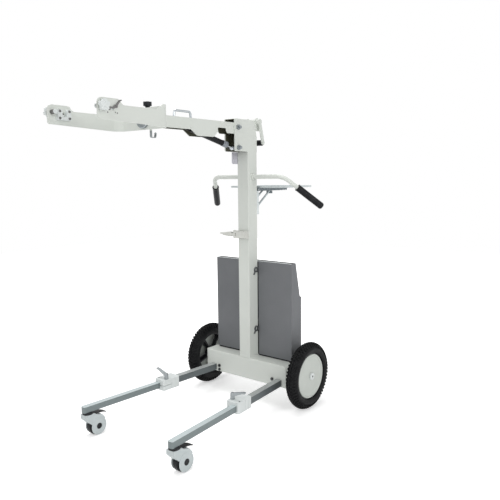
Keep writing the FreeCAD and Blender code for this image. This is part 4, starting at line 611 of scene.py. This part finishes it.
def tread_block(points, faces, low, high, middle, arc, lean):
    """A square block from angle low to high across, and arc wide round the axle, with sloping sides."""
    start = len(points)
    for reach, shrink in ((SECTION - RISE - BLOCK_ROOT, 0.0), (SECTION, BLOCK_TAPER)):
        trim = (high - low) * shrink / 2
        side = arc * (1 - shrink) / 2
        corners = ((low + trim, -side), (high - trim, -side), (high - trim, side), (low + trim, side))
        for angle, turn in corners:
            skew = lean * (angle - (low + high) / 2)
            points.append(on_section(angle, reach, middle + turn + skew))
    for face in ((3, 2, 1, 0), (4, 5, 6, 7), (0, 1, 5, 4), (1, 2, 6, 5), (2, 3, 7, 6), (3, 0, 4, 7)):
        faces.append(tuple(start + corner for corner in face))


def centre_rib(points, faces, pitch):
    """One wave of the middle rib, open at both ends where the next pitch takes over."""
    start = len(points)
    root = SECTION - RISE - RIB_ROOT
    for station in range(RIB_STATIONS + 1):
        turn = pitch * (station / RIB_STATIONS - 0.5)
        shift = RIB_SWAY * math.sin(2 * math.pi * station / RIB_STATIONS)
        for across, reach in ((-RIB_HALF - RIB_FLARE, root), (-RIB_HALF, SECTION),
                              (RIB_HALF, SECTION), (RIB_HALF + RIB_FLARE, root)):
            points.append(on_section(math.asin((across + shift) / reach), reach, turn))
    for station in range(RIB_STATIONS):
        for side in range(3):
            corner = start + station * 4 + side
            faces.append((corner, corner + 1, corner + 5, corner + 4))


def make_pitch():
    """The rib's wave and three rows of blocks on each side of it."""
    points, faces = [], []
    pitch = 2 * math.pi / PITCHES
    centre_rib(points, faces, pitch)
    for low, high, offset in BLOCK_ROWS:
        for side in (-1, 1):
            ends = sorted((side * math.radians(low), side * math.radians(high)))
            tread_block(points, faces, *ends, pitch * offset, pitch * BLOCK_SHARE, side * BLOCK_LEAN)
    mesh = bpy.data.meshes.new("tread_pitch")
    mesh.from_pydata(points, [], faces)
    return mesh


tread_pitch = make_pitch()
print("pitch faces:", len(tread_pitch.polygons))

# %% [markdown]
# ### Repeat the pitch
# The node tree makes one point for each pitch, puts the pitch on every point with a turn about X, joins
# the copies into one mesh and welds the rib's ends. An array modifier with an offset object could turn
# copies too, but the tree has named inputs, so that a wheel of another size needs only another count.

# %% A tree that repeats a mesh round the X axis
# Points closer than this become one, which closes the rib between two pitches.
MERGE = 0.00002


def repeat_round_tree():
    """Node tree with named inputs; returns it and its input sockets by name."""
    tree = bpy.data.node_groups.new("repeat_round", "GeometryNodeTree")
    sockets = {}
    kinds = {"Geometry": "Geometry", "Count": "Int", "Merge": "Float", "Material": "Material"}
    for name, kind in kinds.items():
        sockets[name] = tree.interface.new_socket(name, in_out="INPUT", socket_type="NodeSocket" + kind)
    tree.interface.new_socket("Geometry", in_out="OUTPUT", socket_type="NodeSocketGeometry")
    entry = tree.nodes.new("NodeGroupInput").outputs
    line = tree.nodes.new("GeometryNodeMeshLine")
    line.inputs["Offset"].default_value = (0, 0, 0)
    index = tree.nodes.new("GeometryNodeInputIndex").outputs[0]
    share = sum_node(tree, "DIVIDE", index, entry["Count"])
    angles = tree.nodes.new("ShaderNodeCombineXYZ")
    place = tree.nodes.new("GeometryNodeInstanceOnPoints")
    real = tree.nodes.new("GeometryNodeRealizeInstances")
    weld = tree.nodes.new("GeometryNodeMergeByDistance")
    skin = tree.nodes.new("GeometryNodeSetMaterial")
    leave = tree.nodes.new("NodeGroupOutput")
    for source, target in (
            (entry["Count"], line.inputs["Count"]),
            (sum_node(tree, "MULTIPLY", share, 2 * math.pi), angles.inputs["X"]),
            (line.outputs["Mesh"], place.inputs["Points"]),
            (entry["Geometry"], place.inputs["Instance"]),
            (angles.outputs[0], place.inputs["Rotation"]),
            (place.outputs["Instances"], real.inputs["Geometry"]),
            (real.outputs["Geometry"], weld.inputs["Geometry"]),
            (entry["Merge"], weld.inputs["Distance"]),
            (weld.outputs["Geometry"], skin.inputs["Geometry"]),
            (entry["Material"], skin.inputs["Material"]),
            (skin.outputs["Geometry"], leave.inputs["Geometry"])):
        tree.links.new(source, target)
    return tree, sockets


def repeated_round(name, mesh, count, finish):
    """The mesh that the tree makes of one pitch."""
    holder = add_to_scene(name + "_holder", mesh)
    tree, sockets = repeat_round_tree()
    repeat = holder.modifiers.new("repeat", "NODES")
    repeat.node_group = tree
    for socket, value in (("Count", count), ("Merge", MERGE), ("Material", finish)):
        repeat[sockets[socket].identifier] = value
    bpy.context.view_layer.update()
    depsgraph = bpy.context.evaluated_depsgraph_get()
    made = bpy.data.meshes.new_from_object(holder.evaluated_get(depsgraph))
    made.name = name
    holder.modifiers.remove(repeat)
    bpy.data.objects.remove(holder)
    return made


tread = repeated_round("tyre_tread", tread_pitch, PITCHES, finishes["black_tyre"])
print("tread faces:", len(tread.polygons))

# %% [markdown]
# ### Fit the tyres
# Both tyres are the same moulding. Carcass and tread are joined into one mesh, moved to the axle and put
# in place of the plain ring of the frame, on the wheel that carries it.

# %% Put the tyres on
TREAD_CREASE, WELD_CREASE, CAP_CREASE = 32, 40, 30


def finished_mesh(book, name):
    """The edited mesh as data of its own, with its normals set outward."""
    bmesh.ops.recalc_face_normals(book, faces=book.faces)
    mesh = bpy.data.meshes.new(name)
    book.to_mesh(mesh)
    book.free()
    return mesh


def joined(name, parts, matrix=None):
    """One mesh of several, moved by a matrix."""
    book = bmesh.new()
    for part in parts:
        book.from_mesh(part)
    if matrix:
        bmesh.ops.transform(book, matrix=matrix, verts=book.verts)
    return finished_mesh(book, name)


def add_piece(name, mesh, node, slot, finish=None, crease=None):
    """A piece that rides with a node of the frame and takes one of the record's finishes.

    With a crease in degrees it is shaded smooth, apart from edges sharper than that."""
    mesh.materials.clear()
    mesh.materials.append(finish or finishes[slot])
    if crease is not None:
        mesh.shade_smooth()
        mesh.set_sharp_from_angle(angle=math.radians(crease))
    piece = add_to_scene(name, mesh)
    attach(piece, body_of(frame["nodes"][node])[0])
    return piece


def middle_of(node):
    """Centre of a node's box."""
    low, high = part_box(node)
    return (Vector(low) + Vector(high)) / 2


def fit_tyre(side):
    """The treaded tyre in place of the frame's plain one."""
    node = "tyre_" + side
    mesh = joined("treaded_" + node, (carcass, tread), Matrix.Translation(middle_of(node)))
    piece = add_piece("treaded_" + node, mesh, node, "black_tyre", crease=TREAD_CREASE)
    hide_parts(node)
    return piece


for side in ("left", "right"):
    tyre = fit_tyre(side)
    print(tyre.name, len(tyre.data.polygons), "faces")

# %% [markdown]
# ## Small metalwork
# A built thing shows how it was joined and how it is gripped. Here that is the weld round the mast's foot
# and the knurl on the strut's collar. A bump in the material would look the same from afar, but not in
# outline or in the exported mesh, so each is a light mesh that lies on the solid which carries it.

# %% The weld at the mast's foot
FILLET_STEPS = 6
SUNK = 0.0004


def fillet_strip(name, corners, foot, radius):
    """A hollow fillet between a floor plane and the walls above a line of corners, outward of the walls."""
    book = bmesh.new()
    rows = []
    for corner, out in corners:
        row = []
        for step in range(FILLET_STEPS + 1):
            angle = math.pi / 2 * step / FILLET_STEPS
            away = radius * (1 - math.sin(angle))
            rise = radius * (1 - math.cos(angle))
            row.append(book.verts.new((corner[0] + out[0] * away, corner[1] + out[1] * away, foot + rise)))
        row.append(book.verts.new((corner[0] - out[0] * SUNK, corner[1] - out[1] * SUNK, foot - SUNK)))
        rows.append(row)
    for first, second in zip(rows, rows[1:]):
        count = len(first)
        for index in range(count):
            following = (index + 1) % count
            book.faces.new((first[index], first[following], second[following], second[index]))
    book.faces.new(rows[0])
    book.faces.new(list(reversed(rows[-1])))
    return finished_mesh(book, name)


# The mast tube's flanks, front and rear, and the width of its weld.
MAST_HALF = 0.0305
MAST_FRONT, MAST_REAR = 0.268, 0.332
WELD = 0.009
beam_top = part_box("crossbeam")[1][2]


def mast_weld():
    """Down one flank, round the back and up the other flank; the front is flush and ground flat."""
    right, left = MAST_HALF, -MAST_HALF
    front = MAST_FRONT + SUNK
    corners = [((right, front), (1, 0)), ((right, MAST_REAR), (1, 0)), ((right, MAST_REAR), (0.71, 0.71)),
               ((right, MAST_REAR), (0, 1)), ((left, MAST_REAR), (0, 1)), ((left, MAST_REAR), (-0.71, 0.71)),
               ((left, MAST_REAR), (-1, 0)), ((left, front), (-1, 0))]
    return fillet_strip("mast_weld", corners, beam_top, WELD)


weld = add_piece("mast_weld", mast_weld(), "crossbeam", "white_paint", crease=WELD_CREASE)
print("weld", len(weld.data.polygons), "faces")

# %% [markdown]
# ### The knurl
# The collar screws along the strut to set the balance, and a diamond knurl gives the fingers a grip. On a
# lathe two wheels press it in. Cutting crossed grooves with a boolean is slow and often fails on so many
# edges, so here one slice of small pyramids is repeated round the collar by the tree that made the tread.

# %% The knurl on the strut's collar
STRUT_BOLT = Vector((0, 0.202, 1.154))
STRUT_EYE = Vector((0, -0.082, 1.225))
COLLAR_START, COLLAR_LENGTH, COLLAR_RADIUS = 0.042, 0.032, 0.0133
KNURL_ROWS, KNURL_AROUND = 14, 22
KNURL_SHARE, KNURL_MARGIN = 0.86, 0.07
STUD_FILL, STUD_RISE, STUD_ROOT = 0.94, 0.0007, 0.0003


def knurl_row():
    """The studs of one slice of the collar: one small pyramid on every second crossing."""
    points, faces = [], []
    step = COLLAR_LENGTH * KNURL_SHARE / KNURL_ROWS
    half_turn = math.pi / KNURL_AROUND
    for row in range(KNURL_ROWS):
        along = COLLAR_START + COLLAR_LENGTH * KNURL_MARGIN + step * (row + 0.5)
        turn = half_turn * (row % 2)
        start = len(points)
        foot = ((-step, 0), (0, -half_turn), (step, 0), (0, half_turn))
        for shift, swing, is_tip in (*((*corner, False) for corner in foot), (0, 0, True)):
            out = COLLAR_RADIUS + (STUD_RISE if is_tip else -STUD_ROOT)
            angle = turn + swing * STUD_FILL
            points.append((along + shift * STUD_FILL, out * math.cos(angle), out * math.sin(angle)))
        for face in ((0, 1, 4), (1, 2, 4), (2, 3, 4), (3, 0, 4), (3, 2, 1, 0)):
            faces.append(tuple(start + corner for corner in face))
    mesh = bpy.data.meshes.new("knurl_row")
    mesh.from_pydata(points, [], faces)
    return mesh


def make_knurl():
    """The slice repeated round the collar, then laid along the strut."""
    studs = repeated_round("collar_studs", knurl_row(), KNURL_AROUND, finishes["zinc_steel"])
    along = (STRUT_EYE - STRUT_BOLT).normalized()
    side = Vector((1, 0, 0))
    matrix = Matrix((along, side, along.cross(side))).transposed().to_4x4()
    matrix.translation = STRUT_BOLT
    return joined("collar_knurl", (studs,), matrix)


knurl = add_piece("collar_knurl", make_knurl(), "strut_collar", "zinc_steel",
                  special_finishes["strut_collar"])
print("knurl", len(knurl.data.polygons), "faces")

# %% [markdown]
# ## Caps and covers
# Small round parts show how big the stand is. The casters have a flat cover each side with a dark axle cap,
# and the rear wheels a white hub cap whose middle hole holds a dark hex, a painted shade of the hole. All
# are round, so each is a section turned about the axle. A scaled cylinder would be quicker, but has no lip
# to catch the light.

# %% Turned covers and caps
def turned_solid(name, profile, steps):
    """Profile of (along X, out) points from axis to axis, turned about X into a closed mesh."""
    book = bmesh.new()
    rings = []
    for along, out in profile:
        if out == 0:
            rings.append([book.verts.new((along, 0, 0))] * steps)
            continue
        ring = []
        for step in range(steps):
            turn = 2 * math.pi * step / steps
            ring.append(book.verts.new((along, out * math.cos(turn), out * math.sin(turn))))
        rings.append(ring)
    for first, second in zip(rings, rings[1:]):
        for step in range(steps):
            after = (step + 1) % steps
            corners = []
            for vert in (first[step], first[after], second[after], second[step]):
                if vert not in corners:
                    corners.append(vert)
            book.faces.new(corners)
    return finished_mesh(book, name)


def outward(place, way):
    """Matrix that puts a turned mesh at a place, its +X side facing left or right."""
    return Matrix.Translation(place) @ Matrix.Diagonal((way, 1, 1, 1))


# Sections in metres: how far out of the face that carries the piece, and how far from the axle.
COVER = [(0, 0), (0, 0.0350), (0.0010, 0.0357), (0.0019, 0.0350), (0.0022, 0.0300), (0.0016, 0.0296),
         (0.0016, 0.0288), (0.0024, 0.0284), (0.0027, 0.0142), (0.0020, 0.0134), (0.0020, 0)]
AXLE_CAP = [(0.0015, 0), (0.0015, 0.0120), (0.0030, 0.0120), (0.0036, 0.0106), (0.0036, 0.0056),
            (0.0028, 0.0048), (0.0028, 0)]
HUB_SLEEVE = [(-0.0076, 0.0148), (-0.0076, 0.0157), (-0.0016, 0.0157), (0.0002, 0.0141), (0.0006, 0.0120),
              (0.0006, 0.0053), (-0.0012, 0.0053), (-0.0012, 0.0120), (-0.0024, 0.0148)]
# The dark hex sits deep in the cap's hole as painted shade of the hole.
HUB_HOLE_SHADE = [(-0.0034, 0), (-0.0034, 0.0042), (-0.0010, 0.0042), (-0.0010, 0)]
COVER_STEPS, HUB_STEPS, HOLE_SHADE_SIDES = 40, 48, 6


def cover_caster(side):
    """A cover and an axle cap on each cheek of the caster's fork."""
    wheel = middle_of("caster_tread_" + side)
    low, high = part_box("caster_fork_" + side)
    covers, caps = [], []
    for way, face in ((1, high[0]), (-1, low[0])):
        matrix = outward((face - way * SUNK, wheel[1], wheel[2]), way)
        for profile, found in ((COVER, covers), (AXLE_CAP, caps)):
            found.append(joined("part", (turned_solid("part", profile, COVER_STEPS),), matrix))
    node = "caster_fork_" + side
    pieces = (("caster_covers", covers, "light_plastic"), ("caster_axle_caps", caps, "black_plastic"))
    for name, parts, slot in pieces:
        add_piece(name + "_" + side, joined(name, parts), node, slot, crease=CAP_CREASE)
    return wheel


def cap_hub(side, way):
    """A white shell over the cap on the stub axle, and a dark hex deep in its middle hole as painted shade
    of the hole.
    """
    centre = middle_of("tyre_" + side)
    low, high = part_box("wheel_cover_" + side)
    face = high[0] if way > 0 else low[0]
    shell = turned_ring("shell", HUB_SLEEVE, HUB_STEPS)
    hole_shade = turned_solid("hole_shade", HUB_HOLE_SHADE, HOLE_SHADE_SIDES)
    # The dark hex takes black plastic as painted shade in the cap's hole.
    for name, part, slot in (("hub_cap_", shell, "white_plastic"), ("hub_hole_shade_", hole_shade, "black_plastic")):
        mesh = joined(name + side, (part,), outward((face, centre[1], centre[2]), way))
        add_piece(name + side, mesh, "wheel_cover_" + side, slot, crease=CAP_CREASE)
    return face


for side in ("left", "right"):
    way = 1 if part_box("tyre_" + side)[0][0] > 0 else -1
    print(side, "caster axle", cover_caster(side)[:], "hub face", round(cap_hub(side, way), 4))

# %% [markdown]
# ## The bin's strips and edging
# The bin is a sheet box with narrow gaps to the mast and the beam. Dark strips fill those gaps as painted
# shade, and a white trim covers the cut edge at its top. These are the fine dark and white lines round the
# grey sheet. Thin boxes with broken edges are enough for them.

# %% Dark strips in the gaps round the bin, as painted shade
EDGE_SHARE = 0.2
# Strips beside the mast: from its flank, before and behind the bin's front, short of the bin's top.
FLANK = (0.0002, 0.0036)
STRIP_PROUD, STRIP_BEHIND, STRIP_SHORT = 0.0022, 0.0002, 0.004
# The strip above the beam: behind the bin's front, above the beam, into the bin's floor, short at its ends.
GAP_DEPTH = (0.002, 0.008)
GAP_ABOVE, GAP_INTO, GAP_SHORT = 0.0001, 0.0006, 0.004
# The trim on the top edge: before and behind the front, below and above the edge.
TRIM_PROUD, TRIM_BEHIND, TRIM_BELOW, TRIM_ABOVE = 0.0006, 0.0022, 0.0016, 0.0012


def box_mesh(name, low, high):
    """A box between two corners, with its edges broken."""
    book = bmesh.new()
    size = Vector(high) - Vector(low)
    middle = (Vector(high) + Vector(low)) / 2
    bmesh.ops.create_cube(book, size=1, matrix=Matrix.Translation(middle) @ Matrix.Diagonal((*size, 1)))
    bmesh.ops.bevel(book, geom=book.edges[:], offset=min(size) * EDGE_SHARE, segments=1, affect="EDGES")
    return finished_mesh(book, name)


def bin_gap_shade_strips():
    """A dark strip each side of the mast, and one along the gap above the beam, as painted shade in the
    gaps.
    """
    low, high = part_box("detector_bin")
    strips = []
    for way in (-1, 1):
        inner, outer = sorted(way * (MAST_HALF + away) for away in FLANK)
        strips.append(box_mesh("strip", (inner, low[1] - STRIP_PROUD, low[2]),
                               (outer, low[1] + STRIP_BEHIND, high[2] - STRIP_SHORT)))
    strips.append(box_mesh("strip", (low[0] + GAP_SHORT, low[1] + GAP_DEPTH[0], beam_top + GAP_ABOVE),
                           (high[0] - GAP_SHORT, low[1] + GAP_DEPTH[1], low[2] + GAP_INTO)))
    return joined("bin_gap_shade_strips", strips)


def bin_edging():
    """A white trim pushed on the top edge of the bin's front."""
    low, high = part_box("detector_bin")
    trim = box_mesh("trim", (low[0], low[1] - TRIM_PROUD, high[2] - TRIM_BELOW),
                    (high[0], low[1] + TRIM_BEHIND, high[2] + TRIM_ABOVE))
    return joined("bin_edging", (trim,))


# The dark strips take the black rubber finish as painted shade in the gaps; the trim on the top edge is
# white plastic.
for mesh, slot in ((bin_gap_shade_strips(), "black_rubber"), (bin_edging(), "white_plastic")):
    strip = add_piece(mesh.name, mesh, "detector_bin", slot)
    print(strip.name, len(strip.data.polygons), "faces")
